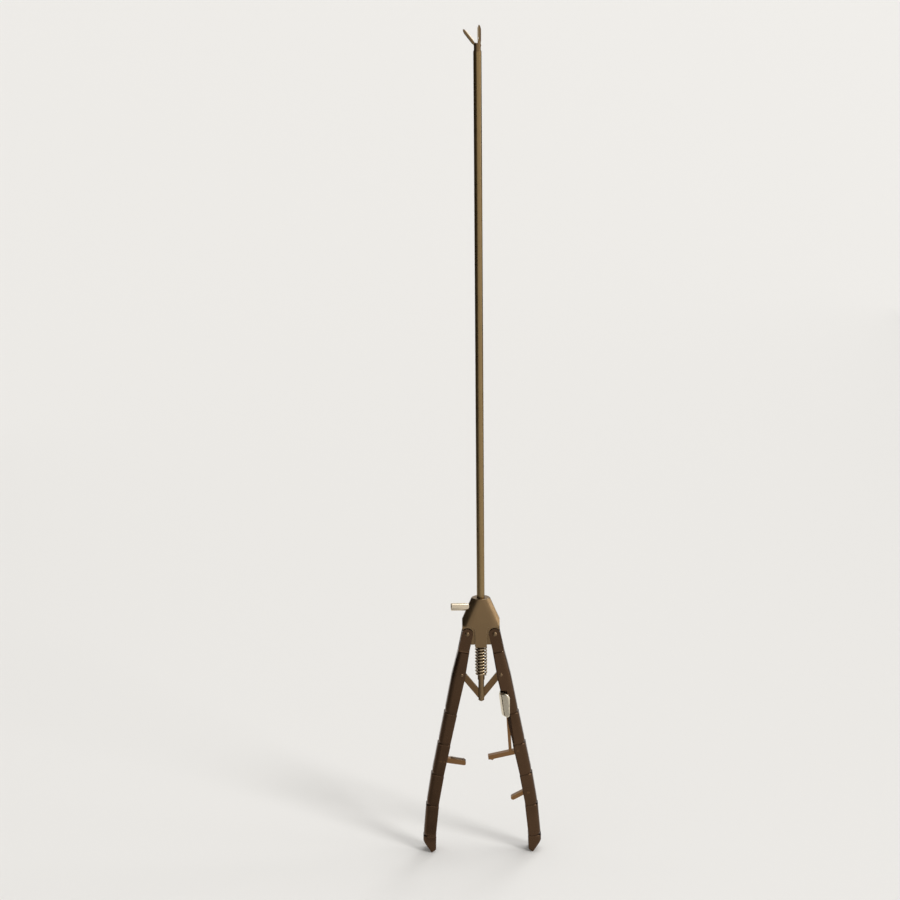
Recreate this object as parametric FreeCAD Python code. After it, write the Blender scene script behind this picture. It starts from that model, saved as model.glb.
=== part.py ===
import FreeCAD, Part
import math
import os

# Laparoscopic grasper with a two-leg ratchet handle, standing upright on its feet.
# Millimetres, +Z up along the shaft, X across the handles, front towards -Y.
# The origin lies on the shaft's axis at the level of the feet.

V = FreeCAD.Vector
Y_AXIS = V(0, 1, 0)
Z_AXIS = V(0, 0, 1)

# Fits and clearances
RUNNING = 0.04
SLIDING = 0.05
FLAT_GAP = 0.1
OPEN_PIVOT_PLAY = 0.3
HOOK_PLAY = 0.08

# Shaft, rod and its end
SHAFT_RADIUS = 2.5
SHAFT_WALL = 0.5
SHAFT_LENGTH = 359.5
SHAFT_IN_HEAD = 14.4
ROD_RADIUS = 1.0
GUIDE_BUSH_LENGTH = 3.0
GUIDE_BUSH_BELOW_TIP = 14.0
BOND_GROOVE_DEPTH = 0.25
BOND_GROOVE_LENGTH = 0.8

# Head block that carries the shaft and both handles
HEAD_ABOVE_PIVOT = 23.8
HEAD_TOP_HALF = 5.8
HEAD_HALF = 12.0
SHOULDER_BELOW_TOP = 14.4
SKIRT_BELOW_TOP = 18.4
HEAD_DEPTH = 5.2
STEM_HALF = 3.7
STEM_LENGTH = 13.9
STEM_FILLET = 2.4
WEB_DEPTH = 2.2
WEB_BELOW_PIVOT = 7.6
LEDGE_DEPTH = 3.3
BEVEL_OUTER = 2.0
BEVEL_INNER = 4.8
BEVEL_MID_DEPTH = 3.7
BEVEL_LOW_DEPTH = 1.2
NOSE_RADIUS = 5.5
NOSE_CONE_RADIUS = 6.5
NOSE_CONE_HEIGHT = 0.8
HEAD_OVERLAP = 1.0
SEAL_RADIUS = 2.0
SEAL_HEIGHT = 1.4
SEAL_RETAINER_HEIGHT = 1.6
SEAL_BELOW_SKIRT = 1.4

# Flush port
PORT_BELOW_TOP = 6.4
PORT_RADIUS = 2.42
PORT_BORE = 1.6
PORT_REACH = 19.2
PORT_CHAMFER = 0.5
PORT_SEAT = 3.4
PORT_SPIGOT = 2.2
PORT_SHOULDER = 9.8
PORT_PASSAGE = 1.2

# Handle linkage
PIVOT_X = 8.76
PIVOT_Z = 150.6
PIVOT_PIN_RADIUS = 1.1
PIVOT_DOME_RADIUS = 1.6
PIVOT_DOME_HEIGHT = 0.8
CLOSE_ANGLE = 8.5
WEB_CORNER = 2.0
WEB_RISE = 1.0
LINK_PIN_X = 12.6
LINK_PIN_BELOW_PIVOT = 27.3
LINK_PIN_RADIUS = 0.8
LINK_DOME_RADIUS = 1.1
LINK_DOME_HEIGHT = 0.45
LINK_LENGTH = 20.44
LINK_WIDTH = 4.2
LINK_THICK = 1.3
ROD_PIN_RADIUS = 0.8
SLEEVE_RADIUS = 2.3
SLEEVE_IN_STEM = 6.9
SLEEVE_NOSE = 3.5
SLEEVE_SLOT_ABOVE_PIN = 11.5
SLEEVE_SLOT_BELOW_PIN = 2.3
SLEEVE_SOLID = 1.0

# Return spring round the sleeve
SPRING_RADIUS = 3.43
SPRING_WIRE_RADIUS = 0.52
SPRING_LENGTH = 20.5
SPRING_TURNS = 9.5
SPRING_NECK_TURNS = 0.9
SPRING_NECK_RADIUS = 2.9
SPRING_POINTS_PER_TURN = 12

# Handle legs, measured along each leg from its pivot
LEG_TILT = 11.7
LEG_STRAIGHT = 97.6
LEG_BEND_RADIUS = 300.0
LEG_TOP = 11.0
LEG_END = 157.0
LEG_DEPTH = 5.4
LEG_OUTER_ROUND = 3.0
LEG_INNER_ROUND = 0.8
LEG_WALL = 2.0
LEG_TOP_WIDTH = 7.3
LEG_LINK_WIDTH = 8.9
LEG_LINK_STATION = 30.0
LEG_WIDTH = 8.5
LEG_STEP = 0.35
EAR_DEPTH = 4.0
EAR_RADIUS = 3.6
EAR_COVE = 1.4
CHANNEL_HALF = 2.4
CHANNEL_STEPS = 6
GROOVE_FIRST = 55.2
GROOVE_PITCH = 21.65
GROOVE_COUNT = 5
GROOVE_DEPTH = 0.6
GROOVE_TAPER = 2.6
GROOVE_LEDGE = 0.5
FOOT_X = 33.2
FOOT_CUT_ANGLE = 56.0
FOOT_INNER_ANGLE = 35.0

# Ratchet: hook on the right leg's release lever, rack on the left leg
HOOK_X = 7.1
HOOK_Z = 63.1
TOOTH_PITCH = 1.0
TOOTH_COUNT = 9
TEETH_PAST_CLOSED = 2
TOOTH_DEPTH = 0.6
TOOTH_LAND = 0.15
TOOTH_PHASE = 0.4
RACK_HEIGHT = 3.9
RACK_HALF_THICK = 1.9
RACK_END_BEVEL = 0.7
RACK_END_ROUND = 1.0
RACK_ROOT_LENGTH = 7.4
RACK_TENON_LENGTH = 4.2
RACK_RIVET_RADIUS = 0.7
RACK_RIVET_SPACING = 2.2

# Release lever with its pad
RELEASE_X = 23.6
RELEASE_Z = 71.0
RELEASE_HUB_RADIUS = 1.9
RELEASE_PIN_RADIUS = 0.8
RELEASE_HALF_THICK = 1.8
RELEASE_PRESS = 3.0
BAR_HEIGHT = 3.0
BAR_SLOPE = 12.5
BAR_TIP_X = 4.1
HOOK_DEPTH = 0.8
HOOK_POINT = 0.1
HOOK_TOOTH = 0.45
STEM_LOW_X = 17.5
STEM_HIGH_X = 16.1
STEM_WIDTH = 2.0
STEM_JOG = 3.0
PAD_LOW = 94.1
PAD_HIGH = 110.8
PAD_LOW_X = 13.1
PAD_HIGH_X = 10.9
PAD_REACH_X = 18.2
PAD_HALF_DEPTH = 7.3
PAD_WALL = 1.2
PAD_POCKET_HALF = 5.75
PAD_FLOOR_HALF = 2.9
PAD_FLANGE_START = 3.9
PAD_INNER_ROUND = 3.7
PAD_OUTER_ROUND = 3.0
PAD_LOWER_ROUND = 1.6
PAD_RIVET_RADIUS = 0.7
PAD_RIVET_SHARES = (0.3, 0.7)
RECESS_TOP = 112.6
RECESS_BOTTOM = 74.0

# Leaf spring behind the release lever
LEAF_THICK = 0.4
LEAF_HALF_WIDTH = 1.7
LEAF_TOP = 91.0
LEAF_TIP = 77.5
LEAF_PLAY = 0.15
LEAF_RIVET_RADIUS = 0.6

# Ratchet switch below it
SWITCH_X = 30.2
SWITCH_Z = 41.8
SWITCH_TIP_X = 18.9
SWITCH_TIP_Z = 35.8
SWITCH_HALF_HEIGHT = 1.45
SWITCH_HUB_RADIUS = 2.1
SWITCH_HALF_THICK = 1.6
SWITCH_PIN_RADIUS = 0.8

# Jaws
JAW_PIVOT_X = -1.1
JAW_PIVOT_BELOW_TIP = 11.9
JAW_OPEN = 38.0
JAW_PIN_RADIUS = 0.45
JAW_HUB_RADIUS = 1.1
CHEEK_RADIUS = 1.3
JAW_ROOT_RADIUS = 1.55
JAW_REACH = 15.5
JAW_RELIEF = 0.2
JAW_HALF_DEPTH = 1.6
JAW_TIP_WIDTH = 1.3
JAW_TIP_BEVEL = 0.3
JAW_TIP_FLAT = 0.8
JAW_TAPER = 3.4
JAW_OVERLAP = 0.5
JAW_NECK = 1.5
NECK_CLEARANCE = 0.4
NECK_INNER = 0.6
NECK_OUTER = 0.9
JAW_FACE_GAP = 0.05
INSERT_THICK = 0.5
INSERT_HALF_DEPTH = 1.3
INSERT_LENGTH = 7.6
CLEVIS_SLOT_HALF = 0.95
CLEVIS_TOP_ABOVE_PIVOT = 2.6
CLEVIS_SHANK = 8.0
CAM_PIN_X = 1.0
CAM_PIN_RADIUS = 0.35
CAM_PIN_LEAD = 1.0
CAM_WALL = 0.35
TONGUE_HALF = 0.55

# Heights that follow from the sizes above
HEAD_TOP = PIVOT_Z + HEAD_ABOVE_PIVOT
HEAD_SHOULDER = HEAD_TOP - SHOULDER_BELOW_TOP
HEAD_SKIRT = HEAD_TOP - SKIRT_BELOW_TOP
STEM_BOTTOM = HEAD_SKIRT - STEM_LENGTH
WEB_BOTTOM = PIVOT_Z - WEB_BELOW_PIVOT
SEAL_FLOOR = HEAD_SKIRT - SEAL_BELOW_SKIRT
PORT_HEIGHT = HEAD_TOP - PORT_BELOW_TOP
LINK_PIN_Z = PIVOT_Z - LINK_PIN_BELOW_PIVOT
SLEEVE_TOP = STEM_BOTTOM + SLEEVE_IN_STEM
SPRING_BOTTOM = STEM_BOTTOM - SPRING_LENGTH
TUBE_TOP = HEAD_TOP - SHAFT_IN_HEAD + SHAFT_LENGTH
JAW_TIP = TUBE_TOP + JAW_REACH
JAW_PIVOT_Z = JAW_TIP - JAW_PIVOT_BELOW_TIP
JAW_RADIUS = SHAFT_RADIUS - JAW_RELIEF


def turned(point, centre, degrees):
    """Return an (x, z) point turned about a centre, anticlockwise seen from the front."""
    angle = math.radians(degrees)
    dx = point[0] - centre[0]
    dz = point[1] - centre[1]
    x = centre[0] + dx * math.cos(angle) - dz * math.sin(angle)
    z = centre[1] + dx * math.sin(angle) + dz * math.cos(angle)
    return x, z


def prism(points, y0, y1):
    """Extrude a closed outline of (x, z) points from y0 to y1."""
    corners = [V(x, y0, z) for x, z in points]
    face = Part.Face(Part.makePolygon(corners + corners[:1]))
    return face.extrude(V(0, y1 - y0, 0))


def rod_y(x, z, radius, y0, y1):
    """Cylinder along Y."""
    return Part.makeCylinder(radius, y1 - y0, V(x, y0, z), Y_AXIS)


def rod_z(radius, z0, z1, x=0.0):
    """Cylinder along Z."""
    return Part.makeCylinder(radius, z1 - z0, V(x, 0, z0), Z_AXIS)


def turned_solid(profile, axis=Z_AXIS, base=V(0, 0, 0)):
    """Revolve a closed profile of vectors once round an axis."""
    face = Part.Face(Part.makePolygon(profile + profile[:1]))
    return face.revolve(base, axis, 360)


def mirrored(shape):
    """Mirror a shape from the right leg's side to the left leg's."""
    return shape.mirror(V(0, 0, 0), V(1, 0, 0))


def both_sides(shape):
    """Fuse a shape with its mirror image front to back."""
    return shape.fuse(shape.mirror(V(0, 0, 0), Y_AXIS))


def edges_at(shape, x, z):
    """Edges along Y that pass through an (x, z) point."""
    found = []
    for edge in shape.Edges:
        ends = [vertex.Point for vertex in edge.Vertexes]
        if len(ends) == 2 and all(math.hypot(p.x - x, p.z - z) < 1e-4 for p in ends):
            found.append(edge)
    return found


def bar_between(start, end, half_height, y0, y1):
    """Flat bar with two round ends between two (x, z) points."""
    dx = end[0] - start[0]
    dz = end[1] - start[1]
    length = math.hypot(dx, dz)
    nx = -dz / length * half_height
    nz = dx / length * half_height
    points = [
        (start[0] + nx, start[1] + nz),
        (end[0] + nx, end[1] + nz),
        (end[0] - nx, end[1] - nz),
        (start[0] - nx, start[1] - nz),
    ]
    bar = prism(points, y0, y1)
    bar = bar.fuse(rod_y(start[0], start[1], half_height, y0, y1))
    return bar.fuse(rod_y(end[0], end[1], half_height, y0, y1))


def dome(x, z, radius, height, seat_y):
    """Low domed rivet head that stands on a front face at y = -seat_y."""
    sphere_radius = (radius ** 2 + height ** 2) / (2 * height)
    centre = V(x, -seat_y + sphere_radius - height, z)
    ball = Part.makeSphere(sphere_radius, centre)
    return ball.common(rod_y(x, z, 2 * radius, -seat_y - 2 * height, -seat_y))


def riveted_pin(x, z, radius, half_length, dome_radius, dome_height):
    """Pin along Y with a dome at each end."""
    pin = rod_y(x, z, radius, -half_length, half_length)
    return pin.fuse(both_sides(dome(x, z, dome_radius, dome_height, half_length))).removeSplitter()


def save(name, shape):
    """Write one piece to its own file."""
    shape.exportStep(os.path.join("parts", name + ".step"))


# Linkage at any closing angle of the handles


def link_pin_at(angle):
    """Right link pin when the handles have closed by an angle."""
    return turned((LINK_PIN_X, LINK_PIN_Z), (PIVOT_X, PIVOT_Z), -angle)


def rod_pin_height(angle):
    """Height of the rod's cross pin, which the two links pull down."""
    x, z = link_pin_at(angle)
    return z - math.sqrt(LINK_LENGTH ** 2 - x ** 2)


ROD_PIN_Z = rod_pin_height(0)
ROD_STROKE = ROD_PIN_Z - rod_pin_height(CLOSE_ANGLE)


def hook_in_left_leg(angle):
    """Where the hook's point lies, seen from the left leg, at a closing angle."""
    world = turned((HOOK_X, HOOK_Z), (PIVOT_X, PIVOT_Z), -angle)
    return turned(world, (-PIVOT_X, PIVOT_Z), -angle)


def angle_for_hook_x(x):
    """Closing angle at which the hook stands at a given x of the left leg."""
    low = 0.0
    high = 2 * CLOSE_ANGLE
    for _ in range(50):
        middle = (low + high) / 2
        if hook_in_left_leg(middle)[0] > x:
            low = middle
        else:
            high = middle
    return low


# Shaft and head


def shaft_tube():
    """Thin outer tube with the flush port's inlet hole and a bond groove at the head's mouth."""
    bottom = HEAD_TOP - SHAFT_IN_HEAD
    groove = HEAD_TOP - BOND_GROOVE_LENGTH
    tube = rod_z(SHAFT_RADIUS, bottom, groove)
    tube = tube.fuse(rod_z(SHAFT_RADIUS - BOND_GROOVE_DEPTH, groove, HEAD_TOP))
    tube = tube.fuse(rod_z(SHAFT_RADIUS, HEAD_TOP, TUBE_TOP))
    tube = tube.cut(rod_z(SHAFT_RADIUS - SHAFT_WALL, bottom, TUBE_TOP))
    inlet = Part.makeCylinder(PORT_PASSAGE, 2 * SHAFT_RADIUS, V(0, 0, PORT_HEIGHT), V(-1, 0, 0))
    return tube.cut(inlet)


def head_bevel():
    """Material off one slanted front edge of the head, as a long prism."""
    start = V(HEAD_TOP_HALF, 0, HEAD_TOP)
    end = V(HEAD_HALF, 0, HEAD_SHOULDER)
    along = end.sub(start).normalize()
    inward = V(along.z, 0, -along.x)
    section = [
        (BEVEL_INNER, -HEAD_DEPTH),
        (BEVEL_OUTER, -BEVEL_MID_DEPTH),
        (0, -BEVEL_LOW_DEPTH),
        (-BEVEL_INNER, -BEVEL_LOW_DEPTH),
        (-BEVEL_INNER, -2 * HEAD_DEPTH),
        (BEVEL_INNER, -2 * HEAD_DEPTH),
    ]
    base = start.sub(along * HEAD_DEPTH)
    corners = [base + inward * across + V(0, y, 0) for across, y in section]
    face = Part.Face(Part.makePolygon(corners + corners[:1]))
    return face.extrude(along * (end.sub(start).Length + 3 * HEAD_DEPTH))


def head_block():
    """Bevelled head: T-shaped front and back, and a central web for the handles."""
    outline = [
        (-HEAD_TOP_HALF, HEAD_TOP), (HEAD_TOP_HALF, HEAD_TOP),
        (HEAD_HALF, HEAD_SHOULDER), (HEAD_HALF, HEAD_SKIRT),
        (STEM_HALF, HEAD_SKIRT), (STEM_HALF, STEM_BOTTOM),
        (-STEM_HALF, STEM_BOTTOM), (-STEM_HALF, HEAD_SKIRT),
        (-HEAD_HALF, HEAD_SKIRT), (-HEAD_HALF, HEAD_SHOULDER),
    ]
    body = prism(outline, -HEAD_DEPTH, HEAD_DEPTH)
    corners = edges_at(body, STEM_HALF, HEAD_SKIRT) + edges_at(body, -STEM_HALF, HEAD_SKIRT)
    body = body.makeFillet(STEM_FILLET, corners)
    bevel = head_bevel()
    for cutter in (bevel, mirrored(bevel)):
        body = body.cut(cutter)
        body = body.cut(cutter.mirror(V(0, 0, 0), Y_AXIS))
    body = body.common(turned_solid([
        V(0, 0, STEM_BOTTOM), V(2 * HEAD_HALF, 0, STEM_BOTTOM),
        V(2 * HEAD_HALF, 0, HEAD_TOP - NOSE_CONE_HEIGHT - 2 * HEAD_HALF + NOSE_CONE_RADIUS),
        V(NOSE_CONE_RADIUS, 0, HEAD_TOP - NOSE_CONE_HEIGHT),
        V(NOSE_RADIUS, 0, HEAD_TOP), V(0, 0, HEAD_TOP),
    ]))
    high = HEAD_SKIRT + HEAD_OVERLAP
    web = [
        (-HEAD_HALF, high), (HEAD_HALF, high), (HEAD_HALF, PIVOT_Z + EAR_RADIUS),
        (PIVOT_X + WEB_CORNER, WEB_BOTTOM + WEB_RISE), (PIVOT_X, WEB_BOTTOM),
        (-PIVOT_X, WEB_BOTTOM), (-PIVOT_X - WEB_CORNER, WEB_BOTTOM + WEB_RISE),
        (-HEAD_HALF, PIVOT_Z + EAR_RADIUS),
    ]
    body = body.fuse(prism(web, -WEB_DEPTH, WEB_DEPTH))
    ledge = [
        (-HEAD_HALF, high), (HEAD_HALF, high),
        (HEAD_HALF, PIVOT_Z + EAR_RADIUS), (PIVOT_X, PIVOT_Z), (STEM_HALF, PIVOT_Z),
        (-STEM_HALF, PIVOT_Z), (-PIVOT_X, PIVOT_Z), (-HEAD_HALF, PIVOT_Z + EAR_RADIUS),
    ]
    step = prism(ledge, -LEDGE_DEPTH, LEDGE_DEPTH)
    for side in (-1, 1):
        swing = rod_y(side * PIVOT_X, PIVOT_Z, EAR_RADIUS + 4 * FLAT_GAP, -LEDGE_DEPTH, LEDGE_DEPTH)
        step = step.cut(swing)
    body = body.fuse(step)
    for side in (-1, 1):
        body = body.cut(rod_y(side * PIVOT_X, PIVOT_Z, PIVOT_PIN_RADIUS, -WEB_DEPTH, WEB_DEPTH))
    tube_seat = HEAD_TOP - SHAFT_IN_HEAD
    body = body.cut(rod_z(SHAFT_RADIUS, tube_seat, HEAD_TOP))
    body = body.cut(rod_z(ROD_RADIUS + RUNNING, STEM_BOTTOM, tube_seat))
    seal_low = SEAL_FLOOR - SEAL_HEIGHT - SEAL_RETAINER_HEIGHT
    body = body.cut(rod_z(SEAL_RADIUS, seal_low, SEAL_FLOOR))
    body = body.cut(rod_z(SLEEVE_RADIUS + SLIDING, STEM_BOTTOM, seal_low))
    seat = Part.makeCylinder(PORT_SPIGOT, HEAD_HALF, V(-PORT_SEAT, 0, PORT_HEIGHT), V(-1, 0, 0))
    passage = Part.makeCylinder(PORT_BORE, PORT_SEAT, V(0, 0, PORT_HEIGHT), V(-1, 0, 0))
    return body.cut(seat).cut(passage).removeSplitter()


def flush_port():
    """Polished tube stub on the left of the head, chamfered at its mouth."""
    profile = [
        V(-PORT_SEAT, 0, PORT_BORE), V(-PORT_SEAT, 0, PORT_SPIGOT),
        V(-PORT_SHOULDER, 0, PORT_SPIGOT), V(-PORT_SHOULDER, 0, PORT_RADIUS),
        V(-PORT_REACH + 2 * PORT_CHAMFER, 0, PORT_RADIUS),
        V(-PORT_REACH, 0, PORT_RADIUS - PORT_CHAMFER), V(-PORT_REACH, 0, PORT_BORE),
    ]
    stub = turned_solid(profile, V(1, 0, 0))
    stub.translate(V(0, 0, PORT_HEIGHT))
    return stub


def rod_seal():
    """Soft ring that keeps fluid from running down the rod."""
    ring = rod_z(SEAL_RADIUS, SEAL_FLOOR - SEAL_HEIGHT, SEAL_FLOOR)
    return ring.cut(rod_z(ROD_RADIUS + RUNNING, SEAL_FLOOR - SEAL_HEIGHT, SEAL_FLOOR))


def seal_retainer():
    """Bush pressed in under the seal."""
    top = SEAL_FLOOR - SEAL_HEIGHT
    bush = rod_z(SEAL_RADIUS, top - SEAL_RETAINER_HEIGHT, top)
    return bush.cut(rod_z(ROD_RADIUS + RUNNING, top - SEAL_RETAINER_HEIGHT, top))


def guide_bush():
    """Bush inside the tube that guides the rod near the jaws."""
    top = TUBE_TOP - GUIDE_BUSH_BELOW_TIP + GUIDE_BUSH_LENGTH
    bottom = TUBE_TOP - GUIDE_BUSH_BELOW_TIP
    bush = rod_z(SHAFT_RADIUS - SHAFT_WALL, bottom, top)
    return bush.cut(rod_z(ROD_RADIUS + RUNNING, bottom, top))


# Rod, sleeve, links and spring


def sleeve():
    """Rod end: a round sleeve with a bullet nose, slotted for the links."""
    low = ROD_PIN_Z - SLEEVE_NOSE
    shoulder = low + SLEEVE_RADIUS
    nose = math.sqrt(0.5) * SLEEVE_RADIUS
    side = [
        V(SLEEVE_RADIUS, 0, shoulder), V(SLEEVE_RADIUS, 0, SLEEVE_TOP),
        V(0, 0, SLEEVE_TOP), V(0, 0, low),
    ]
    arc = Part.Arc(side[3], V(nose, 0, shoulder - nose), side[0]).toShape()
    wire = Part.Wire(Part.makePolygon(side).Edges + [arc])
    body = Part.Face(wire).revolve(V(0, 0, 0), Z_AXIS, 360)
    slot_half = LINK_THICK + FLAT_GAP
    slot = Part.makeBox(
        4 * SLEEVE_RADIUS, 2 * slot_half, SLEEVE_SLOT_ABOVE_PIN + SLEEVE_SLOT_BELOW_PIN,
        V(-2 * SLEEVE_RADIUS, -slot_half, ROD_PIN_Z - SLEEVE_SLOT_BELOW_PIN),
    )
    body = body.cut(slot)
    body = body.cut(rod_y(0, ROD_PIN_Z, ROD_PIN_RADIUS, -SLEEVE_RADIUS, SLEEVE_RADIUS))
    rod_foot = ROD_PIN_Z + SLEEVE_SLOT_ABOVE_PIN + SLEEVE_SOLID
    return body.cut(rod_z(ROD_RADIUS, rod_foot, SLEEVE_TOP))


def cam_pin_at(closed):
    """Jaw drive pin's (x, z) when the stroke is done by a share from 0 to 1."""
    return CAM_PIN_X, JAW_PIVOT_Z + CAM_PIN_LEAD - closed * ROD_STROKE


def tongue_foot():
    """Height at which the flat tongue starts inside the rod's round end."""
    return JAW_PIVOT_Z - CHEEK_RADIUS - ROD_STROKE - 2 * ROD_RADIUS


def drive_rod():
    """Long rod inside the tube, with a flat tongue for the jaw's drive pin."""
    rod_foot = ROD_PIN_Z + SLEEVE_SLOT_ABOVE_PIN + SLEEVE_SOLID
    pin_x, pin_z = cam_pin_at(0)
    shoulder = JAW_PIVOT_Z - CHEEK_RADIUS - ROD_STROKE
    rod = rod_z(ROD_RADIUS, rod_foot, shoulder - ROD_RADIUS)
    tongue = prism([
        (-ROD_RADIUS / 2, tongue_foot()), (ROD_RADIUS, tongue_foot()),
        (pin_x + TONGUE_HALF, shoulder), (pin_x + TONGUE_HALF, pin_z),
        (pin_x - TONGUE_HALF, pin_z), (pin_x - TONGUE_HALF, shoulder),
    ], FLAT_GAP / 2, CLEVIS_SLOT_HALF - FLAT_GAP)
    eye = rod_y(pin_x, pin_z, TONGUE_HALF, FLAT_GAP / 2, CLEVIS_SLOT_HALF - FLAT_GAP)
    tongue = tongue.fuse(eye)
    hole = rod_y(pin_x, pin_z, CAM_PIN_RADIUS, -CLEVIS_SLOT_HALF, CLEVIS_SLOT_HALF)
    return rod.fuse(tongue).cut(hole).removeSplitter()


def link(side):
    """Flat link from the rod's cross pin to one leg: side 1 is right, -1 is left."""
    y0 = FLAT_GAP / 2
    y1 = y0 + LINK_THICK - FLAT_GAP
    if side < 0:
        y0, y1 = -y1, -y0
    outer = (side * LINK_PIN_X, LINK_PIN_Z)
    inner = (0, ROD_PIN_Z)
    bar = bar_between(inner, outer, LINK_WIDTH / 2, y0, y1)
    bar = bar.cut(rod_y(inner[0], inner[1], ROD_PIN_RADIUS + RUNNING, y0, y1))
    return bar.cut(rod_y(outer[0], outer[1], LINK_PIN_RADIUS + OPEN_PIVOT_PLAY, y0, y1)).removeSplitter()


def return_spring():
    """Coil spring from the stem down to the sleeve, its last coil drawn in."""
    top = STEM_BOTTOM - SPRING_WIRE_RADIUS - SLIDING
    count = int(SPRING_TURNS * SPRING_POINTS_PER_TURN)
    points = []
    for index in range(count + 1):
        turns = SPRING_TURNS * index / count
        z = SPRING_BOTTOM + (top - SPRING_BOTTOM) * index / count
        share = min(1.0, turns / SPRING_NECK_TURNS)
        blend = (1 - math.cos(math.pi * share)) / 2
        radius = SPRING_NECK_RADIUS + (SPRING_RADIUS - SPRING_NECK_RADIUS) * blend
        angle = 2 * math.pi * turns
        points.append(V(radius * math.cos(angle), radius * math.sin(angle), z))
    curve = Part.BSplineCurve()
    curve.interpolate(points)
    path = Part.Wire(curve.toShape())
    ring = Part.Circle(points[0], curve.tangent(curve.FirstParameter)[0], SPRING_WIRE_RADIUS)
    return path.makePipeShell([Part.Wire(ring.toShape())], True, True)


# Handle legs


def leg_frame(station):
    """Point on the right leg's middle line, its outward and its downward direction."""
    tilt = math.radians(LEG_TILT)
    straight = min(station, LEG_STRAIGHT)
    x = PIVOT_X + straight * math.sin(tilt)
    z = PIVOT_Z - straight * math.cos(tilt)
    bend = max(0.0, station - LEG_STRAIGHT) / LEG_BEND_RADIUS
    end = tilt - bend
    x += LEG_BEND_RADIUS * (math.cos(end) - math.cos(tilt))
    z -= LEG_BEND_RADIUS * (math.sin(tilt) - math.sin(end))
    return V(x, 0, z), V(math.cos(end), 0, math.sin(end)), V(math.sin(end), 0, -math.cos(end))


def leg_section(station, width, inset):
    """Rounded cross-section of the leg; the inset takes off its front, back and outer side."""
    centre, outward, _ = leg_frame(station)
    inner = -width / 2
    outer = width / 2 - inset
    depth = LEG_DEPTH - inset
    edges = []
    corners = [
        (inner, -depth, 1, 1, LEG_INNER_ROUND), (outer, -depth, -1, 1, LEG_OUTER_ROUND),
        (outer, depth, -1, -1, LEG_OUTER_ROUND), (inner, depth, 1, -1, LEG_INNER_ROUND),
    ]
    arcs = []
    for index, (across, y, to_x, to_y, radius) in enumerate(corners):
        middle = radius * (1 - math.sqrt(0.5))
        along_x = (across + to_x * radius, y)
        along_y = (across, y + to_y * radius)
        first, last = (along_y, along_x) if index % 2 == 0 else (along_x, along_y)
        mid = (across + to_x * middle, y + to_y * middle)
        arcs.append([centre + outward * a + V(0, b, 0) for a, b in (first, mid, last)])
    for index, points in enumerate(arcs):
        edges.append(Part.Arc(*points).toShape())
        following = arcs[(index + 1) % len(arcs)]
        edges.append(Part.makeLine(points[2], following[0]))
    return Part.Wire(edges)


def leg_stations():
    """Station, width and inset of each cross-section down the leg."""
    grooves = [GROOVE_FIRST + GROOVE_PITCH * index for index in range(GROOVE_COUNT)]
    rows = [(LEG_TOP, LEG_TOP_WIDTH, 0.0), (LEG_LINK_STATION, LEG_LINK_WIDTH, 0.0)]
    for groove in grooves:
        rows.append((groove - GROOVE_TAPER, LEG_WIDTH - LEG_STEP, 0.0))
        rows.append((groove, LEG_WIDTH - LEG_STEP, GROOVE_DEPTH))
        rows.append((groove + GROOVE_LEDGE, LEG_WIDTH, 0.0))
    rows.append((LEG_END, LEG_WIDTH, 0.0))
    return rows


def leg_channel():
    """Space inside the leg, open towards the other leg."""
    stations = [-2 * EAR_RADIUS, LEG_TOP, LEG_STRAIGHT]
    last = GROOVE_FIRST + GROOVE_PITCH * (GROOVE_COUNT - 1) - GROOVE_TAPER
    for index in range(CHANNEL_STEPS):
        stations.append(LEG_STRAIGHT + (last - LEG_STRAIGHT) * (index + 1) / CHANNEL_STEPS)
    wires = []
    for station in stations:
        centre, outward, _ = leg_frame(station)
        inner = -LEG_WIDTH
        outer = (LEG_WIDTH - LEG_STEP) / 2 - LEG_WALL
        if station < LEG_TOP:
            outer = EAR_RADIUS - LEG_WALL
        corners = [
            (inner, -CHANNEL_HALF), (outer, -CHANNEL_HALF),
            (outer, CHANNEL_HALF), (inner, CHANNEL_HALF),
        ]
        points = [centre + outward * a + V(0, b, 0) for a, b in corners]
        wires.append(Part.makePolygon(points + points[:1]))
    return Part.makeLoft(wires, True, True)


def ear_gap():
    """Slot between the two ears, through to the outer side, where the head's web swings."""
    centre, outward, down = leg_frame(0)
    corners = [
        (-LEG_WIDTH, -2 * EAR_RADIUS), (LEG_WIDTH, -2 * EAR_RADIUS),
        (LEG_WIDTH, LEG_TOP), (-LEG_WIDTH, LEG_TOP),
    ]
    points = []
    for across, along in corners:
        place = centre + outward * across + down * along
        points.append((place.x, place.z))
    return prism(points, -CHANNEL_HALF, CHANNEL_HALF)


def foot_cut():
    """Wedge below the foot: a steep outer face and a short inner face that meet at the tip."""
    outer = math.radians(FOOT_CUT_ANGLE)
    inner = math.radians(FOOT_INNER_ANGLE)
    reach = 4 * LEG_WIDTH
    points = [
        (FOOT_X, 0.0),
        (FOOT_X + reach * math.cos(outer), reach * math.sin(outer)),
        (FOOT_X + reach * math.cos(outer), -reach),
        (FOOT_X - reach * math.cos(inner), -reach),
        (FOOT_X - reach * math.cos(inner), reach * math.sin(inner)),
    ]
    return prism(points, -2 * LEG_DEPTH, 2 * LEG_DEPTH)


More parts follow.
